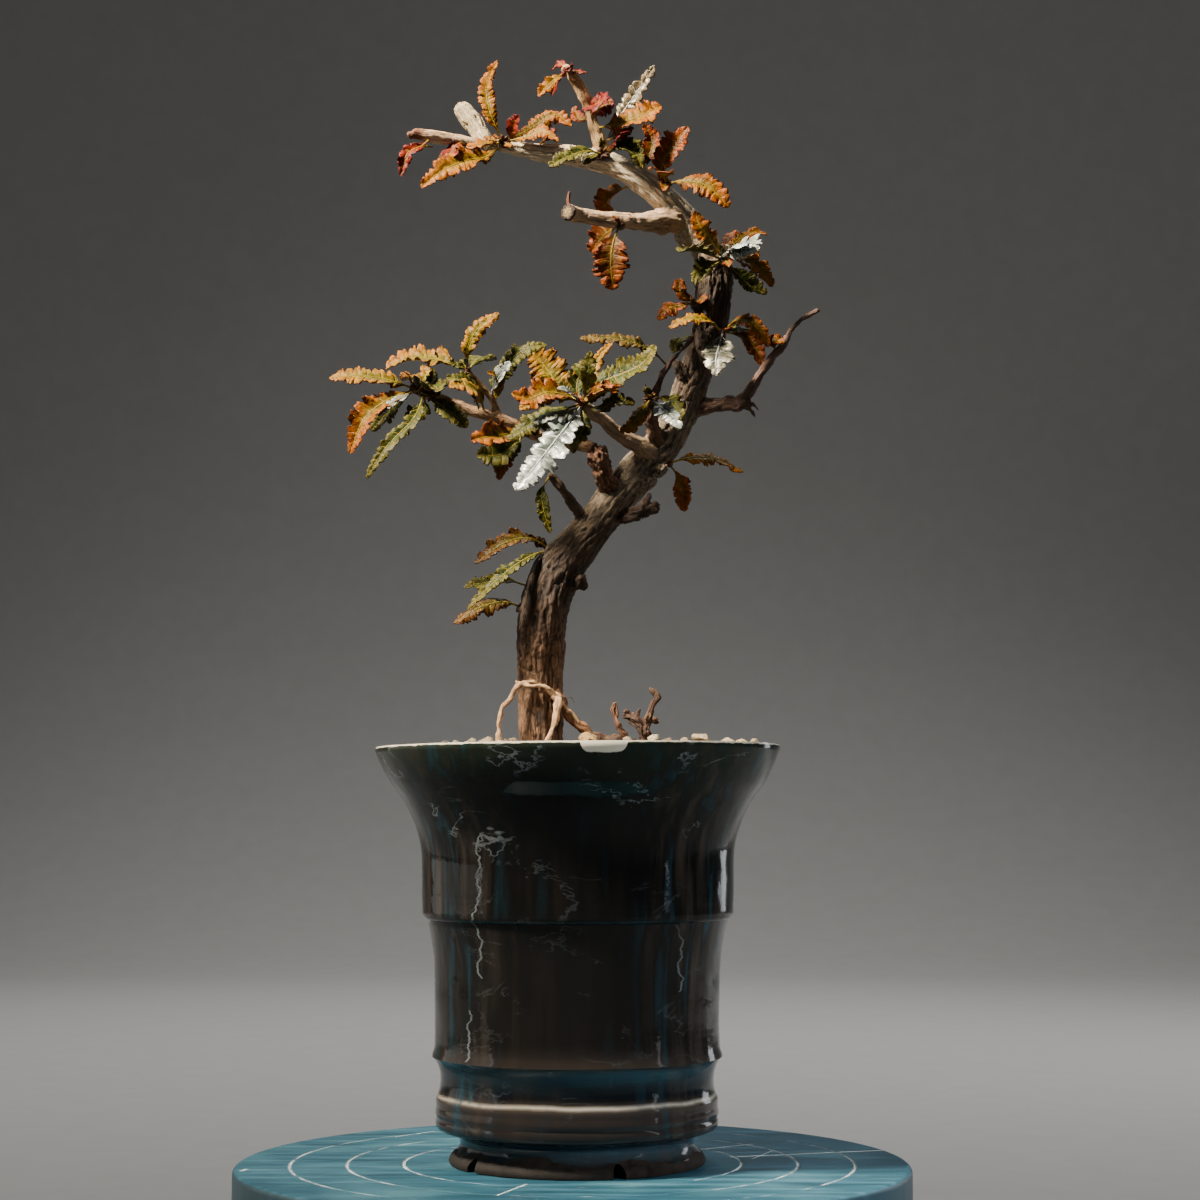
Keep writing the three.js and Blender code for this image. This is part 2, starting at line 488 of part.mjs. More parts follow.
function potShape() {
  const drain = [[DRAIN_RADIUS, POT_FLOOR], [DRAIN_RADIUS, FOOT_RECESS]];
  const wall = [drain[1], ...POT_OUTSIDE, ...POT_INSIDE, ...drain];
  const arch = new THREE.Shape();
  arch.moveTo(-NOTCH_WIDTH / 2, -1).lineTo(NOTCH_WIDTH / 2, -1).lineTo(NOTCH_WIDTH / 2, NOTCH_HEIGHT / 2);
  arch.lineTo(NOTCH_WIDTH / 4, NOTCH_HEIGHT).lineTo(-NOTCH_WIDTH / 4, NOTCH_HEIGHT);
  arch.lineTo(-NOTCH_WIDTH / 2, NOTCH_HEIGHT / 2);
  const notches = Array.from({ length: NOTCHES }, (_, i) => {
    const angle = THREE.MathUtils.degToRad(NOTCH_START + (i * 360) / NOTCHES);
    const cut = new THREE.ExtrudeGeometry(arch, { depth: 20, bevelEnabled: false });
    return solid(cut.rotateX(Math.PI / 2).rotateZ(Math.PI / 2).translate(43, 0, 0).rotateZ(angle));
  });
  return notches.reduce((rest, notch) => rest.subtract(notch), solid(turned(wall, ROUND)));
}

// Gravel: a low dome of soil with a seeded grain at each place of a staggered grid
function substrateShape(treeHole) {
  const draw = seeded(4711);
  const inner = POT_INSIDE.filter(([, height]) => height < SOIL_RIM).reverse()
    .map(([radius, height]) => [radius - 1.5 * GAP, height + GAP]);
  const wallTop = 85.2; // inside radius of the pot at the soil's level, less the gap
  const crest = SOIL_RIM + SOIL_DOME;
  const dome = [[wallTop, SOIL_RIM], [60, SOIL_RIM + SOIL_DOME * 0.6], [25, crest], [0, crest]];
  const soil = solid(turned([[0, POT_FLOOR + GAP], ...inner, ...dome], ROUND));
  const grains = [];
  const rowSpacing = GRAIN_SPACING * Math.sin(Math.PI / 3);
  const rows = Math.ceil(GRAIN_REACH / rowSpacing);
  for (let row = -rows; row <= rows; row++) {
    for (let column = -rows; column <= rows; column++) {
      const x = (column + (row % 2) / 2 + 0.25 * (draw() - 0.5)) * GRAIN_SPACING;
      const y = (row + 0.25 * (draw() - 0.5)) * rowSpacing;
      const size = GRAIN_RADIUS * (0.82 + 0.3 * draw());
      const [turn, roll, flat] = [draw() * 6.28, draw() * 3.14, 0.7 + 0.25 * draw()];
      const reach = Math.hypot(x, y);
      if (reach > GRAIN_REACH) continue;
      const fitted = Math.min(size, GRAIN_LIMIT - reach);
      const level = SOIL_RIM + SOIL_DOME * (1 - (reach / 85) ** 2);
      const grain = new THREE.OctahedronGeometry(fitted, 0).rotateX(roll).rotateZ(turn).scale(1, 0.9, flat);
      grains.push(solid(grain.translate(x, y, level)));
    }
  }
  const recess = SCREEN_SIZE + 2 * GAP;
  const screen = new THREE.BoxGeometry(recess, recess, 2 * SCREEN_THICKNESS + 4 * GAP);
  return joined([soil, ...grains])
    .subtract(treeHole)
    .subtract(dryTwig(GAP))
    .subtract(dryStump(GAP))
    .subtract(solid(screen.translate(0, 0, POT_FLOOR)));
}

function dryTwig(grow) {
  return limb(DRY_TWIG, { sides: 5, grow });
}

function dryStump(grow) {
  return limb(DRY_STUMP, { grow }).add(limb(DRY_SPRIG, { sides: 5, grow }));
}

function screenShape() {
  const sheet = solid(new THREE.BoxGeometry(SCREEN_SIZE, SCREEN_SIZE, SCREEN_THICKNESS));
  const first = (-(SCREEN_HOLES - 1) * SCREEN_PITCH) / 2;
  const holes = Array.from({ length: SCREEN_HOLES * SCREEN_HOLES }, (_, i) => {
    const x = first + (i % SCREEN_HOLES) * SCREEN_PITCH;
    const y = first + Math.floor(i / SCREEN_HOLES) * SCREEN_PITCH;
    return solid(new THREE.BoxGeometry(SCREEN_HOLE, SCREEN_HOLE, 3 * SCREEN_THICKNESS).translate(x, y, 0));
  });
  return shape(holes.reduce((rest, hole) => rest.subtract(hole), sheet));
}

function piece(name, geometry, tone) {
  const [color, roughness, metalness] = COLOURS[tone];
  const mesh = new THREE.Mesh(geometry, new THREE.MeshStandardMaterial({ color, roughness, metalness }));
  mesh.name = name;
  return mesh;
}

const bonsai = new THREE.Group();

// The banding wheel: foot, thrust bearing, spindle and wheel head
const wheelUnder = WHEEL_TOP - WHEEL_THICKNESS;
const hubUnder = wheelUnder - HUB_DROP;
const boreTop = wheelUnder + SPINDLE_INSET;
const boreRadius = SPINDLE_RADIUS + GAP;
const footProfile = [
  [0, 0], [FOOT_RADIUS, 0], [FOOT_RADIUS, 6], [FOOT_RADIUS - 5, 10], [42, 15], [34, 21], [30, BOSS_TOP],
  [boreRadius, BOSS_TOP], [boreRadius, BOSS_FLOOR], [0, BOSS_FLOOR],
];
const bearingProfile = [
  [boreRadius, BOSS_TOP + GAP], [BEARING_RADIUS, BOSS_TOP + GAP], [BEARING_RADIUS, hubUnder - GAP],
  [boreRadius, hubUnder - GAP], [boreRadius, BOSS_TOP + GAP],
];
const headProfile = [
  [0, boreTop], [boreRadius, boreTop], [boreRadius, hubUnder], [HUB_RADIUS, hubUnder],
  [HUB_RADIUS, wheelUnder],
  [WHEEL_RADIUS - 2, wheelUnder], [WHEEL_RADIUS, wheelUnder + 2], [WHEEL_RADIUS, WHEEL_TOP - 1.5],
  [WHEEL_RADIUS - 1.5, WHEEL_TOP], [0, WHEEL_TOP],
];
const spindleLength = boreTop - BOSS_FLOOR - 2 * GAP;
const spindle = new THREE.CylinderGeometry(SPINDLE_RADIUS, SPINDLE_RADIUS, spindleLength, 16);
spindle.rotateX(Math.PI / 2);
bonsai.add(piece("turntable_foot", shape(solid(turned(footProfile, 28))), "iron"));
bonsai.add(piece("turntable_bearing", shape(solid(turned(bearingProfile, 24))), "steel"));
bonsai.add(piece("turntable_head", shape(solid(turned(headProfile, 40))), "wheel"));
bonsai.add(piece("turntable_spindle", spindle, "steel"));
bonsai.children.at(-1).position.z = BOSS_FLOOR + GAP + spindleLength / 2;

// The pot with what it holds stands on the wheel
const potted = new THREE.Group();
potted.position.set(POT_OFFSET, 0, WHEEL_TOP + GAP);
bonsai.add(potted);
const treeHole = tree(GAP);
potted.add(piece("pot", shape(potShape()), "glaze"));
potted.add(piece("drain_screen", screenShape(), "screen"));
potted.children.at(-1).position.z = POT_FLOOR + GAP + SCREEN_THICKNESS / 2;
potted.add(piece("substrate", shape(largest(substrateShape(treeHole))), "gravel"));
potted.add(piece("tree_wood", shape(tree(0)), "bark"));
potted.add(piece("dry_root_twig", shape(dryTwig(0)), "dryRoot"));
potted.add(piece("dry_root_stump", shape(dryStump(0)), "dryRoot"));

// Each spray is cut clear of the wood that it grows on, and of the sprays before it
const placed = [];
for (const [name, contents] of Object.entries(SPRAYS)) {
  const free = placed.reduce((rest, other) => rest.subtract(other), spray(contents).subtract(treeHole));
  potted.add(piece(name, shape(largest(free)), contents.leaves[0][0]));
  placed.push(spray(contents, GAP));
}

export default bonsai;
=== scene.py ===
import math
import random
from functools import partial

import bmesh
import bpy
import numpy as np
from mathutils import Euler, Matrix, Vector, noise
from mathutils.bvhtree import BVHTree


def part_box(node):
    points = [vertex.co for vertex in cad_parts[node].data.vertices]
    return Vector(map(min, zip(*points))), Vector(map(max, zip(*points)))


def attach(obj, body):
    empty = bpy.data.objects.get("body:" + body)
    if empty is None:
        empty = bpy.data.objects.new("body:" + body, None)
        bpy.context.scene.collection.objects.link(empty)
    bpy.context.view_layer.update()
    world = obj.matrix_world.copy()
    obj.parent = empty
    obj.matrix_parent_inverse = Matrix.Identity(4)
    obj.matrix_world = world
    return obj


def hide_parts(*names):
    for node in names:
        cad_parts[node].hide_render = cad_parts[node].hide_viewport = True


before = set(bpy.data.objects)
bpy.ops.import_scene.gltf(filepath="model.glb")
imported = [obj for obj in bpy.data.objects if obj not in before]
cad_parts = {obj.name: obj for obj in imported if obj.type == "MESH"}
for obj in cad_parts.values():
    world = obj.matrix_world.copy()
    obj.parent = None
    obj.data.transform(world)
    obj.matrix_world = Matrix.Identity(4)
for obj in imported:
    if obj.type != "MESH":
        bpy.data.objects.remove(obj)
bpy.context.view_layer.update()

# Driving places and sizes, in metres. The tables below are in millimetres, from the pot's foot.
MM = 0.001
pot_low, pot_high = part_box("pot")
POTTED = Vector(((pot_low.x + pot_high.x) / 2, (pot_low.y + pot_high.y) / 2, pot_low.z))
wheel_low, wheel_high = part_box("turntable_head")
WHEEL_RADIUS = wheel_high.x
WHEEL_TOP = wheel_high.z
GRAIN_RISE = 14.5  # from the soil's rim to the highest grain of the solid
SOIL_TOP = (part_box("substrate")[1].z - POTTED.z) / MM - GRAIN_RISE
SOIL_DOME = 1.5
HEAD = "wheel_head"

# The wheel, in millimetres from its axis and from the floor
RING_SPACING = 25
RING_DEPTH = 0.5
RING_WIDTH = 1.3
RING_STEPS = (-1.2, -0.5, -0.3, -0.12, 0, 0.12, 0.3, 0.5, 1.2)  # stations across a ring, in ring widths
HEAD_THICKNESS = 18
HUB_RADIUS = 24
BORE_RADIUS = 9.3
BEARING_RADIUS = 20
FOOT_SECTION = [
    (0, 0), (93, 0), (95, 1.6), (95, 5), (93.5, 8.2), (90, 10), (62, 11.6), (45, 14.3), (38, 17.5),
    (33.5, 22), (31, 27), (30, 29), (29, 30), (BORE_RADIUS, 30), (BORE_RADIUS, 8), (0, 8),
]
WHEEL_STEPS = 256
FOOT_STEPS = 192
BEARING_STEPS = 96
SCRATCHES = [  # x, y at both ends, and the width
    (70.8, 17.2, 145.3, 40.6, 1.3), (80.3, 10.7, 92.3, 40.6, 0.5), (-18.5, -65, -29.4, -95.2, 0.6),
    (-143.7, -27, -141.9, -20.9, 1.2), (-86.2, 86.9, -68.5, 109.6, 0.5), (52, 38, 84, 62, 0.7),
]

# The pot's profile in millimetres, in runs that meet at its edges
POT_RUNS = [
    [(7, 12), (7, 4)],
    [(7, 4), (46, 4)],
    [(46, 4), (46.4, 0.6), (47, 0)],
    [(47, 0), (56.6, 0)],
    [(56.6, 0), (57.2, 0.7), (56.8, 2.4), (55.8, 4), (53.2, 6.5), (51.9, 8.9), (52.3, 11), (53.7, 12.8)],
    [(53.7, 12.8), (57.2, 14.1), (61.3, 15.1), (62.4, 15.9)],
    [(62.4, 15.9), (62.9, 17.6), (62.9, 19.4), (62.2, 20.4), (62.9, 21.6), (62.9, 24.4), (62.2, 25.4),
     (62.8, 26.6), (62.6, 29.3)],
    [(62.6, 29.3), (61.9, 30.3), (61, 34.5), (61, 38.5), (61.7, 42), (63.2, 45.3), (64.9, 46.9)],
    [(64.9, 46.9), (64.9, 47.6), (64.1, 49.4), (63.5, 56), (63.4, 70), (63.8, 85), (65.2, 97),
     (67.3, 107.3)],
    [(67.3, 107.3), (68.9, 108), (69.7, 109.6), (69.7, 112), (69.8, 120), (70.4, 138.5), (72.9, 148.8),
     (77.9, 159.6), (84.6, 169), (88.6, 176.5), (91.1, 183)],
    [(91.1, 183), (91.2, 183.9), (90.5, 184.5), (89.4, 184.6), (88.2, 184.2), (87.7, 183.4)],
    [(87.7, 183.4), (85.4, 177), (80.8, 169), (73, 158.6), (67, 146), (64.5, 128), (58.8, 86),
     (57.8, 26), (55, 15.5), (48, 12)],
    [(48, 12), (7, 12)],
]
PROFILE_STATION = 1.6
POT_STEPS = 280
FOOT_HEIGHT = 5.5  # bare clay below this height
NOTCHES = 5
NOTCH_START = -71  # degrees
NOTCH_WIDTH = 6
NOTCH_HEIGHT = 6
NOTCH_RADIUS = 52  # from the pot's axis to the middle of a notch, through the foot ring
NOTCH_DEPTH = 18
WALL_RADIUS = 50  # the wall lies beyond this radius, and the floor inside it stays flat
LIP_RADIUS = 88
LIP_LEVEL = 184
DRIP_MIDDLE = 11.8  # the glaze drip below the lip: its place, half width and length
DRIP_HALF = 10
DRIP_LENGTH = 4.2
DRIP_THICKNESS = 0.5
RIM_TILT = 0.0075  # the lip is a little lower on the left
TILT_DEPTH = 14  # the wall below the lip that follows its tilt
REFLECTED_PANEL_EDGES = [(-42, 84, 146), (44, 78, 107), (-46, 48, 70)]  # painted reflections of the panels' edges, as upright pale lines: x, and the heights that each line lies between
REFLECTED_EDGE_WIDTH = 0.45

# The tree's limbs as [x, y, z, radius]
TRUNK = [
    [-14, 6, 146, 5], [-16, 4, 166, 8.5], [-16.3, 2, 185, 9.5], [-17, 1, 214, 10.1], [-16.6, -1, 232, 10.6],
    [-14.3, -2, 250, 11], [-9.4, -1, 263, 11], [-1.3, 0, 274, 9.5], [9.2, 2, 287, 8.6], [20, 4, 301, 8.6],
    [32, 6, 315, 8.6], [41.3, 6, 326.5, 7.9], [47.7, 5, 338, 7.7], [51.3, 4, 348, 7.4], [55, 3, 359, 7.2],
    [58.2, 1, 370.5, 7], [60.9, -1, 380.5, 7.9], [61.7, -3, 390, 8.3], [62.1, -5, 402.5, 8.1],
    [58.5, -6, 411, 6.8], [52.5, -7, 419, 6.5], [44.8, -8, 428.4, 6.3], [35.2, -9, 437, 5.9],
    [25.6, -9, 444, 5.6], [14.7, -8, 450, 5.2], [2.3, -6, 453.6, 4.7], [-8.2, -4, 455.5, 4.5],
    [-17.5, -2, 457, 4.1], [-26.7, 0, 459, 3.4], [-33.7, 1, 460.6, 2.8], [-45, -1, 461.5, 2.3],
    [-56.4, -4, 462, 2.6], [-67.6, -8, 462.8, 2.9], [-75.3, -10, 463.7, 2.2],
]
LIMBS = {
    "cutTop": [
        [-40, 0, 459, 3], [-43, 0, 463, 3.6], [-47.5, 3, 471, 4.1], [-52.5, 5, 477.5, 4.2],
        [-54, 6, 479.6, 3.6], [-54.8, 6, 480.8, 2],
    ],
    "upright": [
        [13.8, -8, 450, 4], [10.1, -9, 460.2, 3.2], [7.4, -10, 467.4, 2.6], [4.6, -12, 477, 2.9],
        [1.9, -13, 482, 2.7], [-2.2, -13, 489, 2.5], [-5, -13, 492.6, 2],
    ],
    "cutFront": [
        [52, -6, 421, 5], [45, -10, 423, 5.6], [37.3, -14, 421.8, 5], [25.9, -20, 420, 3.8],
        [11.4, -26, 420.2, 3.3], [2, -29.5, 420.7, 3.3], [-2.5, -32.5, 421, 3.6], [-4.4, -35, 421.1, 3.8],
    ],
    "twigRight": [
        [50, 5, 338, 4], [58.6, 3, 339.4, 3.8], [66.2, 0, 340.3, 2.8], [73, -3, 340, 2.8], [77, -4, 344, 2.4],
        [82.3, -6, 352, 2], [87, -8, 359, 2], [92.6, -10, 365, 1.7], [96, -11, 371, 1.2], [101, -13, 377, 1],
        [109, -16, 380.5, 0.9],
    ],
    "branchMiddle": [
        [35, 2, 316.6, 4.1], [30.6, -2, 319.3, 4.1], [19.6, -9, 324.6, 3.2], [12, -14, 330, 2.9],
        [5.2, -20, 334.7, 2.7], [2.5, -22, 335.8, 2.3],
    ],
    "stubMiddle": [[37.5, 3, 321.4, 3.8], [33.7, -5, 330.3, 3.2], [32.7, -10, 341.5, 3.2]],
    "twigMiddle": [
        [33.2, -10, 338, 2], [37.3, -9.5, 349.3, 1.2], [41, -10, 356.7, 1.1], [48.6, -12, 364.4, 1],
        [52, -14, 368.6, 1],
    ],
    "knobLeft": [[20, 2, 298.7, 4.1], [12.8, -4, 304.3, 4.1], [8.7, -8, 317, 4.1]],
    "branchLeft": [
        [9.6, -8, 316.5, 3.4], [5.6, -8, 319.3, 2.9], [-8, -10, 321.7, 2.7], [-18.7, -13, 324, 2.6],
        [-28.6, -15, 328.7, 2.6], [-41.6, -16, 333, 2.6], [-53, -16, 336.7, 2.6], [-64.2, -15, 341, 2.5],
        [-74.3, -13, 345.4, 2.3],
    ],
    "forkLeft": [
        [-35, -15, 331, 1.9], [-39.3, -18, 341, 1.6], [-44.6, -20, 346.5, 1.5], [-49.5, -22, 352, 1.4],
    ],
    "stubLow": [[7, 0, 285, 3], [1, -2, 290, 2.6], [-5.7, -9, 298.7, 2], [-12.4, -12, 306.5, 1.8]],
    "stubRight": [[14, 1, 289, 3], [26, -4, 289.7, 2.4], [35.8, -8, 292.4, 2]],
    "spurRight": [[28, -5, 289.5, 1.7], [29.5, -6, 292, 1.6], [32.7, -8, 298.3, 1.1]],
    "cutSpur": [[-2, -31, 422, 1.4], [-4, -31, 426, 1.1], [-3.4, -31, 431.5, 0.9]],
    "frayLow": [[73, -3, 340, 1.6], [77.5, -4.5, 337.6, 1.1], [80.8, -5, 333.2, 0.6]],
    "frayRight": [[76, -4, 342, 1.4], [79.6, -6, 339, 0.9], [82, -6, 336.4, 0.5]],
    "stubTrunk": [[51, 2, 350, 3], [47.6, -1, 355, 2.6], [45, -2, 358.5, 1.9], [43.6, -3, 361, 1]],
    "rootLeft": [
        [-19, -8, 213, 1.3], [-24.5, -11, 212.6, 1], [-26.6, -11, 210.3, 1.2], [-30.5, -11.5, 205.4, 1.2],
        [-33.3, -11, 202, 1], [-34.5, -11, 197.7, 1.2], [-35.3, -10.5, 191.5, 1.1], [-35, -10, 187.5, 1.4],
        [-33, -9, 183, 1.5], [-32, -8, 174, 1.3],
    ],
    "rootAcross": [
        [-28.2, -10.5, 213.3, 0.7], [-24.8, -11.3, 211.7, 0.9], [-19, -12.5, 211.2, 0.8],
        [-13.9, -12, 210.9, 0.8], [-11, -11.5, 209, 0.9], [-8.2, -10.5, 205.2, 0.8], [-4.8, -9.5, 201.5, 0.7],
        [-1.9, -9, 198.9, 0.6], [0.4, -9, 195, 0.5],
    ],
    "rootFront": [
        [-10, -7, 207.5, 1.6], [-8.3, -11.5, 203.4, 1.5], [-9.4, -12.4, 198.8, 1.6], [-9.9, -13, 194.3, 1.5],
        [-11.6, -13.6, 190.9, 1.4], [-13.5, -14, 186.6, 1.3], [-15, -15, 178, 1.2],
    ],
    "rootRight": [
        [-11, -3, 211, 2.2], [-7, -5, 205, 1.9], [-5, -7, 199, 2], [-2, -7, 195.4, 2.1],
        [1.5, -7, 192.6, 2], [5.2, -7, 189.8, 1.9], [9, -6, 184, 1.8], [11, -6, 176, 1.5],
    ],
    "rootFar": [
        [5, -7, 189.5, 1.7], [11, -9, 187.6, 1.6], [18, -12, 187.9, 1.2], [25, -16, 187, 1.1],
        [31, -19, 183, 1],
    ],
    "rootletHigh": [
        [-7, -6, 206, 0.7], [-3.5, -7, 206.4, 0.5], [-1.4, -7, 203.7, 0.4], [-2, -7, 199.7, 0.4],
        [0.5, -7, 196.4, 0.35], [2.6, -7, 193.5, 0.3],
    ],
    "rootletLow": [
        [-18, -10.5, 208, 0.6], [-14.5, -12, 208.6, 0.5], [-11, -12, 205.8, 0.5], [-9, -12, 202, 0.5],
    ],
}
BURLS = [  # leaf scars and burls as [x, y, z, radius]
    [-1, -6.5, 257.4, 3.8], [1.8, -7.5, 259.6, 2.9], [2.8, -6, 256.6, 2.6], [-24.5, -4, 246, 3.6],
    [-12, -5, 272, 4], [37.5, 0, 310.5, 4.2], [55, -5, 385, 3.8], [64, 4, 396, 4.4], [72.5, -3, 339.5, 3.8],
    [28, -12, 448, 3.6], [1, 6, 268, 4.4], [-41, 0, 461, 3.4], [-72, -9, 464, 2.8], [-76, -10, 463, 2.3],
    [-5.2, -13, 492.5, 2.9], [-2.5, -14, 488.5, 2.7], [12, -9, 452, 4.6], [50, -6, 417, 7.2],
    [38, -13, 419.5, 4.6], [73.5, -3, 341, 3.4], [30.5, 1, 306, 6], [14, -1, 300, 5],
    [12, -5, 306, 4.6], [9.5, -7.5, 314.5, 4.6], [-20.5, -2, 221, 4],
    [-53.4, 5, 478.6, 4.9], [69, -2, 341.5, 3.4], [76, -4, 341.5, 3.2],
]
KNOT_EYES = [(-16.3, -8.5, 197.5, 4.2), (-4.5, -9, 258, 3), (60, -9, 399, 4)]  # dark scars in the bark
DRY_TWIG = [
    [24, -22, 178, 1.3], [21.9, -21.5, 187, 1.2], [19.6, -21, 190.8, 1.1], [17.6, -21, 194, 0.9],
    [16.9, -20.5, 197.4, 0.9], [16.4, -20, 200.8, 1.2], [17, -20, 203, 0.8],
]
DRY_STUMP = [
    [33, -19, 177, 3], [30.5, -18, 187.5, 2.8], [29, -17.5, 192, 2.6], [26.5, -16.5, 195.4, 2.4],
    [23.6, -15.5, 197.4, 1.7], [20.6, -14.5, 197.6, 1],
]
DRY_SPRIG = [
    [31, -18, 189, 1.9], [31.2, -16.5, 195.4, 1.6], [32.8, -15.5, 200.8, 0.9], [34.6, -15, 204.2, 1],
    [35.4, -15, 206, 1.3], [33.8, -14.5, 209, 1.1], [32.4, -14, 211, 0.5],
]
DRY_SPURS = [
    [[30, -17.5, 193, 1.7], [33, -17, 195.6, 1], [36, -17, 195.2, 0.6]],
    [[27.5, -17, 195, 1.8], [26.8, -16, 198.6, 1], [28.4, -15, 200.6, 0.6]],
    [[23.8, -15.5, 197.2, 1.2], [21.4, -15.5, 199.8, 0.6]],
]

# Bark tones up the trunk by height, and of the other limbs. The trunk's tones hold painted light and shade:
# darker at 250–270 mm where the limbs above would shade it, dark bark at 386 mm deepened by painted shade
# from the leaves above, and lighter at 300 mm and from 414 mm up where the key falls, over the upper trunk's
# pale bark.
TRUNK_TONES_LIT_AND_SHADED = [
    (180, "#6e5039"), (212, "#86664a"), (232, "#644a35"), (250, "#483729"), (270, "#463628"),
    (285, "#6f5d47"), (300, "#a8967c"), (325, "#9a886f"), (350, "#6a5745"), (386, "#3c3029"),
    (402, "#735f4a"), (414, "#ccb899"), (435, "#e4d4b7"), (455, "#e2d0af"), (466, "#c09b74"),
]
LIMB_TONES = {
    "cutTop": "#c2ae8a", "upright": "#bd9767", "cutFront": "#bd9e7c", "twigRight": "#735748",
    "branchMiddle": "#a68a6c", "stubMiddle": "#7c5c46", "twigMiddle": "#5a4133", "knobLeft": "#805a42",
    "branchLeft": "#ad8a66", "forkLeft": "#9a7a58", "stubLow": "#5f4a3a", "stubRight": "#4a382c",
    "spurRight": "#5a463a", "cutSpur": "#6e4432", "frayLow": "#5c4636", "frayRight": "#6d5644",
    "stubTrunk": "#4f3d30", "rootLeft": "#c9a077", "rootAcross": "#cda87c", "rootFront": "#c8a077",
    "rootRight": "#7c5638", "rootFar": "#46301f", "rootletHigh": "#4a3628", "rootletLow": "#8a6444",
}
TRUNK_ROUGHNESS = 1.25  # how strongly the bark is raised, on the trunk and on the limbs that differ from 1
ROUGH_LIMBS = {
    "cutTop": 1.3, "knobLeft": 4, "stubMiddle": 3, "stubLow": 3, "stubRight": 5, "spurRight": 3.4,
    "twigMiddle": 3, "twigRight": 2, "stubTrunk": 4, "frayLow": 4, "frayRight": 4, "rootLeft": 2,
    "rootFront": 2.4, "rootRight": 3, "rootFar": 5,
}
CUT_ENDS = {"cutFront": ("#8c7552", "#33231a"), "cutTop": ("#cdbd9a", "#b09b76")}  # sawn wood, bark ring
TRUNK_END = "#7a4f38"  # the tone of the trunk's bud tip
TRUNK_END_START = -67  # the x where the bud tip begins
STATION = 1.2 * MM  # from one station to the next along a limb
LIMB_WANDER = 0.1  # how far growth bends a limb off its table
ROOT_WANDER = 0.28
DRY_WANDER = 0.25
DRY_ROUGHNESS = 4
WOOD_VOXEL = 0.7 * MM
TWIG_VOXEL = 0.3 * MM
LIMB_SIDES = 20
BURL_SIZE = 0.85  # of the radius in the table, because the melted skin swells over a burl

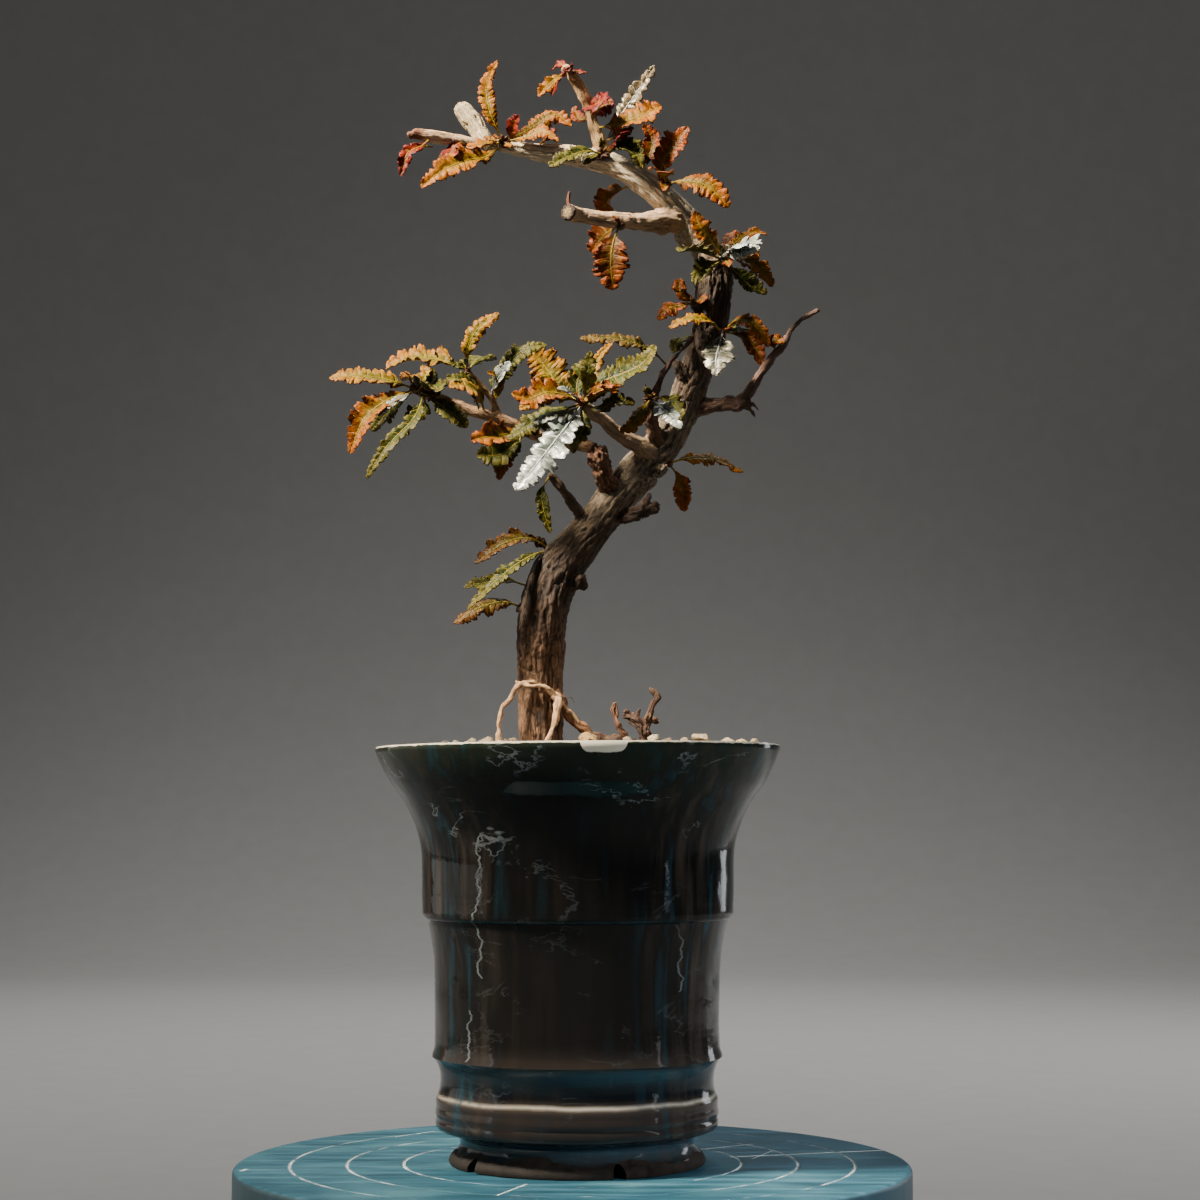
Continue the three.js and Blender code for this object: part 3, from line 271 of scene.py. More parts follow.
# Leaves: each has its tone, its full width, the tilt of its face from the front (0) to the sky (90),
# and its rib from stalk to tip. A knob is the bud that the leaves of a spray grow from: [x, y, z, radius].
SPRAYS = {
    "spray_tip": ([[-34, -3, 461.5, 4.6]], [
        ("honey", 7, 30, [[-36, -4, 463], [-40, -6, 474], [-42, -4, 488], [-37, -6, 499]]),
        ("honey", 11, 30, [[-36, -1, 459], [-42, -5, 454], [-51, -10, 451], [-62, -14, 445],
            [-71, -16, 437]]),
        ("honey", 8, 40, [[-33, -1, 461], [-23, -7, 463], [-15, -11, 464], [-9, -14, 459]]),
        ("honey", 9, 60, [[-37, -2, 460], [-43, -10, 458], [-50, -17, 455]]),
        ("amber", 9, 30, [[-32, 2, 462], [-22, 5, 470], [-11, 6, 477], [-3, 4, 471]]),
    ]),
    "leaf_tip_red": ([], [("red", 7, 20, [[-31, 0, 461], [-30, -4, 468], [-27, -8, 473]])]),
    "leaf_end": ([], [("red", 6, 25, [[-67, -9, 462], [-71, -13, 457], [-77, -16, 453], [-80, -18, 442]])]),
    "leaf_end_small": ([], [("red", 7, 25, [[-55, -4, 461], [-58, -4, 454], [-61, -3, 446]])]),
    "spray_upright_tip": ([[-5, -13, 492, 3]], [
        ("red", 5, 30, [[-6, -12, 491], [-10, -8, 488], [-12, -6, 483]]),
        ("honey", 6, 30, [[-5, -14, 490], [-12, -18, 485], [-18, -20, 478]]),
        ("red", 5, 30, [[-5, -12, 492], [-8, -9, 496], [-12, -6, 495]]),
    ]),
    "leaf_upright_red": ([], [("red", 14, 30, [[5.5, -11.5, 474], [8, -20, 474], [13, -28, 474]])]),
    "leaf_upright_gold": ([], [
        ("honey", 14, 35, [[8, -10, 466], [18, -17, 466], [28, -19, 469], [38, -18, 474]]),
    ]),
    "leaf_upright_back": ([], [("rust", 7, 25, [[6, -10, 471], [3, -2, 472], [0, 4, 475], [-2, 7, 481]])]),
    "leaf_upright_silver": ([], [
        ("silver_warm", 9, 20, [[10.5, -9, 459], [16, -4, 466], [21, -3, 476], [29, -5, 487], [35, -8, 496]]),
    ]),
    "spray_fork": ([[11.5, -13.5, 453, 4.4]], [
        ("green", 9, 30, [[15, -13, 454], [20, -19, 455], [26, -23, 451], [29, -24, 444]]),
        ("green", 9, 35, [[11, -13, 453], [4, -19, 453], [-5, -23, 449], [-13, -24, 445]]),
        ("red", 9, 45, [[14, -12, 456], [18, -20, 458], [22, -27, 460]]),
    ]),
    "leaf_shoulder": ([], [("rust", 8, 20, [[28, -8, 447], [33, -4, 455], [34, -2, 463], [30, -3, 470]])]),
    "spray_shoulder": ([[40.5, -14, 439, 4]], [
        ("rust", 12, 25, [[37, -10, 441], [38, -13, 447], [43, -16, 456], [50, -16, 465]]),
        ("amber", 8, 60, [[36, -14, 439], [39, -22, 441], [41, -31, 440]]),
        ("amber", 12, 35, [[38, -13, 437], [47, -19, 439], [58, -23, 436], [68, -24, 426]]),
    ]),
    "spray_hanging": ([[19, -24, 418, 4.4]], [
        ("rust", 15, 15, [[20, -24, 418], [16, -27, 409], [15, -28, 399], [16, -26, 388]]),
        ("rust", 13, 20, [[18, -21, 417], [12, -15, 415], [6, -9, 409]]),
    ]),
    "leaf_hanging_back": ([], [("amber", 12, 30, [[23, -6, 440], [18, 0, 439], [14, 4, 436], [10, 5, 430]])]),
    "spray_crown": ([[66, -12.5, 404.5, 4.6]], [
        ("amber", 10, 25, [[64, -15, 408], [59, -20, 413], [55, -22, 418], [53, -21, 425]]),
        ("green", 12, 60, [[63, -15, 405], [56, -25, 405], [50, -38, 403], [45, -48, 400]]),
        ("green", 7, 40, [[63, -15, 403], [58, -23, 400], [54, -30, 395], [52, -33, 389]]),
        ("amber", 7, 45, [[66, -10, 409], [73, -4, 415], [80, 0, 420], [87, 2, 420]]),
        ("honey", 8, 45, [[67, -13, 404], [75, -17, 403], [82, -19, 399], [88, -19, 391]]),
        ("green", 9, 35, [[66, -12, 402], [73, -10, 398], [79, -8, 393], [86, -8, 390]]),
        ("rust", 5, 50, [[67, -9, 409], [69, 2, 417], [73, 12, 424]]),
        ("gold", 11, 60, [[68, -9, 406], [75, 6, 412], [80, 22, 413], [82, 36, 410]]),
    ]),
    "leaf_crown_silver": ([], [
        ("silver", 14, 50, [[66, -13, 405], [72, -24, 408], [76, -32, 408], [80, -41, 405]]),
    ]),
    "spray_trunk_left": ([[53, -8, 385.5, 3]], [
        ("rust", 7, 25, [[52, -8, 386], [48, -12, 388], [46, -13, 391], [47, -12, 396]]),
        ("rust", 7, 40, [[52, -9, 385], [46, -14, 383], [41, -18, 381], [36, -20, 376]]),
    ]),
    "leaf_trunk_silver": ([], [
        ("silver_dull", 14, 15, [[66, -5, 373], [64, -15, 365], [62, -20, 357], [62, -22, 350]]),
    ]),
    "spray_trunk_right": ([[66, -5, 373, 4.2]], [
        ("rust", 8, 35, [[68, -5, 373], [75, -3, 371], [81, -2, 366], [84, -3, 358]]),
        ("amber", 8, 40, [[68, -8, 374], [73, -12, 377], [80, -15, 374], [86, -16, 364]]),
        ("gold", 9, 45, [[63, -11, 374], [57, -16, 376], [50, -19, 376], [41, -20, 372]]),
        ("green", 10, 60, [[68, -3, 374], [73, 12, 377], [77, 26, 377], [80, 37, 373]]),
    ]),
    "leaf_trunk_dark": ([], [
        ("green", 6, 40, [[53, -3, 371], [49, -7, 370], [45, -10, 367], [43, -12, 362]]),
    ]),
    # Painted light: both leaves of this spray take brightened tones because they lie in the trunk's shadow.
    "spray_right_low": ([[41.5, 6, 314, 3.4]], [
        ("amber_bright", 9, 45, [[43, 6, 315], [51, 10, 317], [63, 12, 317], [76, 12, 311]]),
        ("rust_bright", 9, 25, [[43, 5, 313], [46, 9, 308], [48, 12, 301], [49, 13, 293]]),
    ]),
    "leaf_twig": ([], [
        ("green_brown", 9, 45, [[40, -9, 357], [34, -14, 362], [26, -18, 365], [14, -20, 367],
            [1, -20, 367]]),
    ]),
    "spray_stub": ([[33, -12.5, 341, 4.4]], [
        ("green", 8, 40, [[35, -10, 341], [39, -11, 341], [44, -12, 337], [46, -13, 331]]),
        ("gold", 7, 30, [[32, -13, 340], [29, -19, 334], [25, -23, 328], [19, -25, 324]]),
    ]),
    "leaf_stub_silver": ([], [
        ("silver", 10, 20, [[33, -12, 341], [38, -21, 335], [42, -26, 331], [46, -29, 325]]),
    ]),
    "spray_rosette": ([[2, -22, 337, 4.2]], [
        ("amber", 12, 40, [[1, -24, 337], [-7, -29, 340], [-14, -33, 340], [-22, -35, 337], [-29, -36, 339]]),
        ("gold", 17, 25, [[1, -21, 339], [-7, -17, 344], [-13, -14, 353], [-18, -13, 359], [-23, -13, 364]]),
        ("green", 7, 25, [[2, -23, 339], [4, -27, 344], [5, -30, 351], [6, -31, 359]]),
        ("gold", 6, 40, [[4, -19, 339], [6, -8, 350], [10, -3, 362], [16, -1, 369]]),
        ("green", 13, 35, [[4, -22, 338], [11, -24, 346], [21, -26, 350], [29, -28, 354], [35, -29, 362]]),
        ("amber", 12, 60, [[5, -24, 336], [9, -33, 339], [14, -42, 340], [18, -50, 340]]),
        ("green", 6, 20, [[3, -23, 334], [1, -22, 327], [-1, -21, 321], [-2, -21, 315]]),
        ("green", 11, 40, [[1, -23, 335], [-8, -25, 333], [-19, -27, 328], [-31, -28, 320]]),
    ]),
    "leaf_rosette_silver": ([], [
        ("silver", 16, 15, [[2, -22, 337], [-4, -33, 326], [-11, -39, 316], [-19, -43, 305],
            [-27, -45, 295]]),
    ]),
    "spray_under": ([[-23, -16, 325.5, 4]], [
        ("green", 13, 25, [[-23, -16, 324], [-28, -19, 319], [-35, -21, 314], [-45, -22, 314]]),
        ("amber", 12, 20, [[-24, -17, 326], [-31, -24, 323], [-39, -30, 321], [-47, -33, 319]]),
    ]),
    "spray_left_tip": ([[-73, -13.5, 345, 4.2], [-69, -15, 343, 4.2], [-65, -16, 341.5, 4.2]], [
        ("gold", 14, 45, [[-74, -14, 346], [-85, -16, 348.5], [-97, -17, 350.5], [-112, -15, 350]]),
        ("amber", 12, 35, [[-74, -15, 343], [-86, -22, 338], [-95, -27, 329], [-101, -28, 314]]),
        ("green", 9, 35, [[-74, -12, 344], [-81, -7, 340], [-87, -4, 335], [-94, -3, 328]]),
        ("green", 7, 30, [[-65, -17, 339], [-73, -28, 329], [-84, -34, 316], [-93, -35, 302]]),
        ("green", 5, 20, [[-67, -14, 344], [-66, -12, 349], [-65, -11, 355]]),
        ("green", 9, 35, [[-63, -17, 339], [-58, -21, 334], [-53, -24, 330], [-49, -25, 326]]),
        ("green", 10, 65, [[-68, -16, 344], [-64, -26, 344], [-61, -36, 340]]),
        ("gold", 11, 70, [[-70, -12, 345], [-73, 2, 352], [-77, 18, 356], [-82, 33, 357]]),
    ]),
    "spray_left_fork": ([[-49, -22, 352, 2.8]], [
        ("gold", 14, 45, [[-50, -22, 353], [-58, -20, 356], [-68, -19, 358], [-78, -19, 357],
            [-86, -20, 353]]),
        ("gold", 8, 25, [[-49, -23, 353], [-49, -27, 361], [-44, -29, 370], [-35, -28, 377]]),
        ("green", 10, 60, [[-49, -20, 352], [-45, -8, 360], [-42, 5, 363], [-39, 16, 364]]),
    ]),
    "leaf_fork_side": ([], [
        ("silver", 7, 30, [[-39, -19, 341], [-36, -24, 347], [-33, -27, 351], [-30, -28, 355]]),
    ]),
    "leaf_branch_left": ([], [
        ("gold", 12, 35, [[-42, -17, 334], [-44, -24, 341], [-50, -30, 344], [-57, -33, 343]]),
    ]),
    "spray_low_left": ([[-13, -4, 273, 4]], [
        ("amber_shaded", 9, 40, [[-12, -2, 274], [-21, -6, 278], [-32, -10, 276], [-46, -12, 266]]),
        ("green", 7, 40, [[-12, -3, 272], [-22, -12, 269], [-35, -18, 259], [-49, -20, 245]]),
    ]),
    "leaf_low": ([], [("green", 8, 40, [[-23, -2, 257], [-31, -5, 259], [-40, -8, 258], [-51, -9, 256]])]),
    "leaf_lowest": ([], [
        ("amber_shaded", 9, 40, [[-25, -3, 247], [-33, -9, 249], [-44, -14, 246], [-55, -16, 239]]),
    ]),
    "leaf_stub_low": ([], [
        ("green", 6, 20, [[-13, -13, 305], [-16, -18, 298], [-15, -21, 289], [-12, -22, 279]]),
    ]),
    "leaf_back_low": ([], [("green", 8, 70, [[-2, 8, 274], [-3, 22, 277], [-5, 36, 275], [-6, 46, 268]])]),
    "leaf_back_middle": ([], [
        ("gold", 10, 70, [[33, 12, 318], [32, 27, 323], [29, 41, 322], [26, 51, 316]]),
    ]),
    "leaf_back_upper": ([], [("green", 7, 70, [[62, 3, 390], [62, 18, 396], [61, 33, 398], [60, 43, 394]])]),
    "leaf_back_crown": ([], [("amber", 10, 70, [[32, -4, 441], [30, 8, 449], [28, 23, 454], [25, 36, 454]])]),
}
MORE_LEAVES = {  # smaller leaves that fill the bunches
    "leaf_crown_silver": [
        ("silver", 9, 35, [[63, -14, 404.2], [69.6, -19, 407.2], [75.7, -22, 407.5], [82, -24, 407.2]]),
    ],
    "leaf_end": [
        ("honey", 5, 30, [[-66.4, -8, 457.8], [-72.1, -11, 457.3], [-77.2, -13, 453.6]]),
    ],
    "leaf_upright_red": [
        ("red", 12, 10, [[6.8, -11, 469.8], [9.6, -15, 473.9], [16.5, -17, 476.2]]),
        ("red", 7, 30, [[13.8, -12, 459.8], [20, -16, 461.6], [25.5, -18, 463.9]]),
    ],
    "spray_crown": [
        ("green", 7, 40, [[61.6, -14, 402], [57.1, -20, 397.2], [54.2, -23, 392.4]]),
    ],
    "spray_fork": [
        ("green", 8, 40, [[17.2, -12, 454.2], [21.5, -6, 459.3], [28.6, -2, 458.3], [31.4, 0, 451.6]]),
    ],
    "spray_left_fork": [
        ("green", 9, 40, [[-44.2, -20, 335.1], [-47.3, -24, 343.2], [-51.5, -27, 346.9],
            [-58.4, -29, 347.6]]),
        ("green", 8, 60, [[-40.6, -18, 344.3], [-49.5, -14, 347.2], [-58.5, -10, 347.6], [-67.4, -8, 348]]),
        ("green", 10, 35, [[-37.6, -16, 336.9], [-36.2, -18, 347], [-31.2, -22, 355.4], [-23, -24, 361.3],
            [-13.8, -24, 363.2]]),
        ("gold", 6, 30, [[-37.6, -16, 336.9], [-35.3, -20, 346.1], [-36.5, -24, 348.9], [-40.2, -27, 350.4]]),
    ],
    "spray_left_tip": [
        ("silver_shaded", 5, 45, [[-72.9, -15, 342], [-78.3, -22, 339.8], [-83.9, -26, 335.3],
            [-88.6, -28, 330.6]]),
        ("gold", 7, 40, [[-72.6, -12, 344.2], [-69.6, -8, 350.4], [-68.7, -5, 354.3], [-71.1, -3, 357.5]]),
        ("green", 8, 35, [[-63.8, -12, 338.7], [-69, -16, 335.2], [-73, -20, 332.4], [-75.9, -24, 329]]),
    ],
    "spray_rosette": [
        ("gold", 9, 35, [[-0.2, -24, 335.6], [-11, -28, 340.6], [-18.4, -31, 336.1], [-25.7, -32, 333]]),
        ("silver_shaded", 8, 45, [[1.4, -24, 335.6], [-2.3, -30, 339.5], [-6, -34, 340.7],
            [-8.7, -36, 341.7]]),
        ("green", 9, 30, [[2.5, -22, 335.9], [-0.3, -18, 345.4], [2.4, -17, 353.3], [6.8, -18, 359.2]]),
        ("amber", 8, 35, [[3.6, -24, 335.6], [7.4, -28, 340.2], [13.8, -30, 342.4], [17.9, -31, 340.7]]),
        ("green", 8, 45, [[4.6, -22, 335.4], [10.6, -27, 334], [17.1, -28, 337.3], [25.7, -26, 336.9]]),
        ("green", 7, 40, [[2.5, -22, 333.7], [3.1, -27, 326.4], [-0.2, -29, 319.5], [-2.9, -28, 314.8]]),
        ("silver_shaded", 7, 50, [[1.4, -24, 334.5], [-4.4, -31, 331.2], [-11.9, -34, 329.8],
            [-19.4, -35, 326.7]]),
    ],
    "spray_tip": [
        ("red", 8, 35, [[-48.8, -2, 457.6], [-53.9, -6, 460.1], [-58.9, -9, 452.8], [-61.6, -10, 446.4]]),
        ("red", 5, 30, [[-17.8, -3, 460.2], [-13.8, -6, 463.2], [-10.4, -8, 466.7]]),
    ],
    "spray_trunk_right": [
        ("amber", 6, 35, [[90, -9, 362.5], [88.5, -12, 367.3], [93.2, -14, 366.3]]),
    ],
    "spray_under": [
        ("amber", 8, 25, [[-25.3, -17, 319.2], [-30.6, -19, 314.5], [-33.8, -20, 308.9],
            [-35.1, -20, 303.2]]),
    ],
}
LEAF_TONES = {  # along the rib, on the lobes, and at the lobes' edges and tip
    "gold": ("#585406", "#775904", "#8b5404"),
    "honey": ("#6a5406", "#865804", "#944c04"),
    "amber": ("#5c4c06", "#784a04", "#884204"),
    "amber_shaded": ("#3a360a", "#4a3608", "#532b06"),
    # Painted light: a brightened amber for a leaf in the trunk's shadow.
    "amber_bright": ("#a8881a", "#bc8412", "#c0700e"),
    "rust": ("#4c3508", "#603006", "#803806"),
    # Painted light: a brightened rust for a leaf in the trunk's shadow.
    "rust_bright": ("#6e5210", "#864610", "#9c4c12"),
    "red": ("#74300c", "#74200a", "#581012"),
    "green": ("#2a360f", "#3b4110", "#564c14"),
    "green_brown": ("#33320d", "#46380b", "#553a09"),
    # The silver tones' pale lobes are partly the leaves' own grey and partly painted highlight, the sheen
    # that light makes on their fine hairs.
    "silver": ("#3c4840", "#6f7a71", "#b8beb5"),
    "silver_shaded": ("#3f4a42", "#6d766f", "#a3aaa2"),
    "silver_warm": ("#3e3626", "#6e5e42", "#a08c6a"),
    "silver_dull": ("#2c3028", "#4f5142", "#8e8a76"),
}
LEAF_CUT = 0.32  # the share of a leaf's width that is left between two lobes near the stalk
LEAF_CUTS = {"silver": 0.14, "red": 0.46, "green": 0.36}
LEAF_SLOTS = {"honey": "leaf_gold"}
LEAF_STATION = 0.4  # from one station to the next along a leaf's rib
BLADE_THICKNESS = 0.4
LOBE_LENGTH = 4.7
SILVER_LOBE_LENGTH = 6
STALK = 5  # at most this long, and at most LONGEST_STALK of the leaf
LONGEST_STALK = 0.16
BUD_REACH = 8  # a leaf that starts nearer to a bud than this grows from it
BUD_SCALES = 9
YOUNG_LEAVES = 3
BUD_TONES = {"spray_rosette": "#a85d4c", "spray_crown": "#8d8a78", "spray_upright_tip": "#8c2f38"}
BUD_TONE = "#6b4a38"
TOP_STONES = [  # the stones that show above the rim: x, y, their top, their size and tone
    (-53, -30, 186.6, 4.5, "#8d7f6a"), (-46.6, -32, 187.1, 6, "#9c8c74"), (-39, -36, 187.5, 9.5, "#8f7f66"),
    (-28, -31, 187.3, 5.5, "#7c6a52"),
    (5, -26, 190.4, 11, "#9a7c4e"), (22.4, -30, 188.4, 5.5, "#93856c"), (33.6, -29, 188.4, 8, "#a8997c"),
    (39.6, -33, 187.6, 6.5, "#6f5c46"), (47, -30, 187.2, 6, "#85745a"), (54.3, -24, 190.3, 9.5, "#a39070"),
    (66.6, -22, 187.6, 7, "#9b8a6c"), (73, -14, 187.8, 7.5, "#a08c68"), (78.5, -10, 187.6, 6, "#8d7c62"),
]
STONE_TONES = ["#a58a5c", "#7a5a40", "#8f877a", "#55504a", "#b9ad94", "#6b4734", "#9b7350", "#3f3a36"]
STONE_SIZES = [5.5, 6.5, 7.5, 8.5, 9.5]
STONE_SPACING = 6.4
ROW_STEP = 0.87  # from row to row, in spacings
STONE_CORNERS = 22
SOIL_STEPS = 96
SOIL_RADIUS = 85
GRAVEL_REACH = 83
TRUNK_FOOT = (-16.3, 2)
TRUNK_CLEARANCE = 8.5
SOIL_WALL = [  # the soil's outline against the pot's inner wall, from the bottom up
    (0, 12.3), (46, 12.3), (55, 16), (57.4, 26), (57.4, 60), (60, 100), (64, 128), (66.6, 146), (72.6, 158.6),
    (80.3, 169), (82.6, SOIL_TOP - 2),
]


# Colours and materials

def linear(colour):
    """An sRGB hex colour as linear red, green, blue and full alpha."""
    parts = [int(colour[i:i + 2], 16) / 255 for i in (1, 3, 5)]
    return (*[p / 12.92 if p <= 0.04045 else ((p + 0.055) / 1.055) ** 2.4 for p in parts], 1.0)


def each(*sizes):
    """A texture's scale for a pattern that repeats about every so many millimetres, on each axis if given."""
    scales = tuple(1 / (size * MM) for size in sizes)
    return scales if len(scales) > 1 else scales[0]


def feed(socket, value):
    """Sets an input to a value, or links it to an output, or to the first output that a node shows."""
    if isinstance(value, bpy.types.Node):
        value = next(output for output in value.outputs if output.enabled)
    if isinstance(value, bpy.types.NodeSocket):
        socket.id_data.links.new(value, socket)
    else:
        socket.default_value = value


def add_node(tree, kind, *inputs, stops=(), **named):
    """One shader node with its inputs, in order or by capitalised name, its colour stops and its settings."""
    made = tree.nodes.new("ShaderNode" + kind)
    for name, value in named.items():
        if name.islower():
            setattr(made, name, value)
    shown = [socket for socket in made.inputs if socket.enabled]
    named_inputs = [(made.inputs[name], value) for name, value in named.items() if not name.islower()]
    for socket, value in [*zip(shown, inputs), *named_inputs]:
        feed(socket, value)
    for index, (position, colour) in enumerate(stops):
        elements = made.color_ramp.elements
        stop = elements[index] if index < 2 else elements.new(position)
        stop.position = position
        stop.color = linear(colour)
    return made


def connect(material, **sockets):
    """Feeds the shader's sockets, in whose names _ stands for a space."""
    for name, value in sockets.items():
        feed(material.node_tree.nodes["Principled BSDF"].inputs[name.replace("_", " ")], value)
    return material


def new_material(name, **sockets):
    """A material with its shader's constant values set, and the function that adds nodes to it."""
    made = bpy.data.materials.new(name)
    made.use_nodes = True
    return connect(made, **sockets), partial(add_node, made.node_tree)


def brushed_enamel():
    """Enamel brushed on cast iron: streaky teal, chalky white where rings and scratches wear through. The
    rings are painted whiter toward the left and right as a painted glint, and the head's upright side edge is
    darkened as painted shade.
    """
    made, add = new_material("brushed_enamel", IOR=1.5)
    place = add("TexCoord").outputs["Object"]
    brushed = add("Mapping", place, Scale=each(60, 7, 30))
    streaks = add("TexNoise", brushed, Scale=1, Detail=5)
    patches = add("TexNoise", place, Scale=each(55), Detail=3)
    paint = add("ValToRGB", streaks, stops=[
        (0.3, "#1a3c4a"), (0.46, "#234e5f"), (0.58, "#2e5b6d"), (0.75, "#48707e"),
    ])
    chalk = add("MapRange", patches, 0.5, 0.75, 0.0, 0.4)
    tone = add("Mix", chalk, paint, linear("#5f95a2"), data_type="RGBA")
    level = add("VectorMath", place, (1, 1, 0), operation="MULTIPLY")
    radius = add("VectorMath", level, operation="LENGTH")
    off_ring = add("Math", radius, RING_SPACING / 2 * MM, operation="PINGPONG")
    ring = add("MapRange", off_ring, 0.3 * MM, 0.9 * MM, 1.0, 0.0)
    rubbed = add("TexNoise", place, Scale=each(9), Detail=4)
    # Painted glint: the ring wear is made stronger toward the left and right, where the groove walls would
    # catch the light.
    parts = add("SeparateXYZ", level)
    sideways = add("Math", parts.outputs[0], radius, operation="DIVIDE")
    side = add("Math", sideways, operation="ABSOLUTE")
    side_glint = add("MapRange", side, 0.5, 1.0, -0.1, 0.2)
    rub_and_glint = add("Math", rubbed, side_glint, operation="ADD")
    rub_and_glint_share = add("MapRange", rub_and_glint, 0.46, 0.74, 0.0, 1.0)
    on_top = add("Math", radius, WHEEL_RADIUS - RING_SPACING / 2 * MM, operation="LESS_THAN")
    top_ring = add("Math", ring, on_top, operation="MULTIPLY")
    wear_and_glint = add("Math", top_ring, rub_and_glint_share, operation="MULTIPLY")
    for x1, y1, x2, y2, width in SCRATCHES:
        start = Vector((x1, y1, 0)) * MM
        along = Vector((x2, y2, 0)) * MM - start
        length = along.length
        along.normalize()
        from_start = add("VectorMath", level, start, operation="SUBTRACT")
        run = add("VectorMath", from_start, along, operation="DOT_PRODUCT")
        aside = add("VectorMath", from_start, (along.y, -along.x, 0), operation="DOT_PRODUCT")
        off_line = add("Math", aside, operation="ABSOLUTE")
        line = add("MapRange", off_line, width * 0.3 * MM, width * MM, 1.0, 0.0)
        off_middle = add("Math", run, length / 2, length / 2, operation="COMPARE")
        scratch = add("Math", line, off_middle, operation="MULTIPLY")
        wear_and_glint = add("Math", wear_and_glint, scratch, operation="MAXIMUM")
    height = add("SeparateXYZ", place)
    above = add("Math", height.outputs[2], WHEEL_TOP - 1 * MM, operation="GREATER_THAN")
    top_wear_and_glint = add("Math", wear_and_glint, above, operation="MULTIPLY")
    colour = add("Mix", top_wear_and_glint, tone, linear("#cfdadb"), data_type="RGBA")
    roughness = add("MapRange", streaks, 0.3, 0.7, 0.34, 0.52)
    bump = add("Bump", Height=streaks, Distance=0.3 * MM, Strength=0.5)
    # Painted shade: the head's upright side edge is darkened, as it would lie in shade below the lit top.
    side_shade_share = add("MapRange", radius, WHEEL_RADIUS - 1.2 * MM, WHEEL_RADIUS - 0.3 * MM, 0.0, 0.7)
    side_shaded = add("Mix", side_shade_share, colour, linear("#1f2b2f"), data_type="RGBA")
    return connect(made, Base_Color=side_shaded, Roughness=roughness, Normal=bump)


def turned_steel():
    """Turned bearing steel: bright, with fine lathe rings and a little oil."""
    made, add = new_material("turned_steel", Metallic=1.0)
    place = add("TexCoord").outputs["Object"]
    squeezed = add("Mapping", place, Scale=each(40, 40, 0.6))
    rings = add("TexNoise", squeezed, Scale=1, Detail=2)
    colour = add("ValToRGB", rings, stops=[(0.3, "#85878a"), (0.7, "#b0b2b4")])
    roughness = add("MapRange", rings, 0.3, 0.7, 0.2, 0.36)
    bump = add("Bump", Height=rings, Distance=0.05 * MM, Strength=0.4)
    return connect(made, Base_Color=colour, Roughness=roughness, Normal=bump)


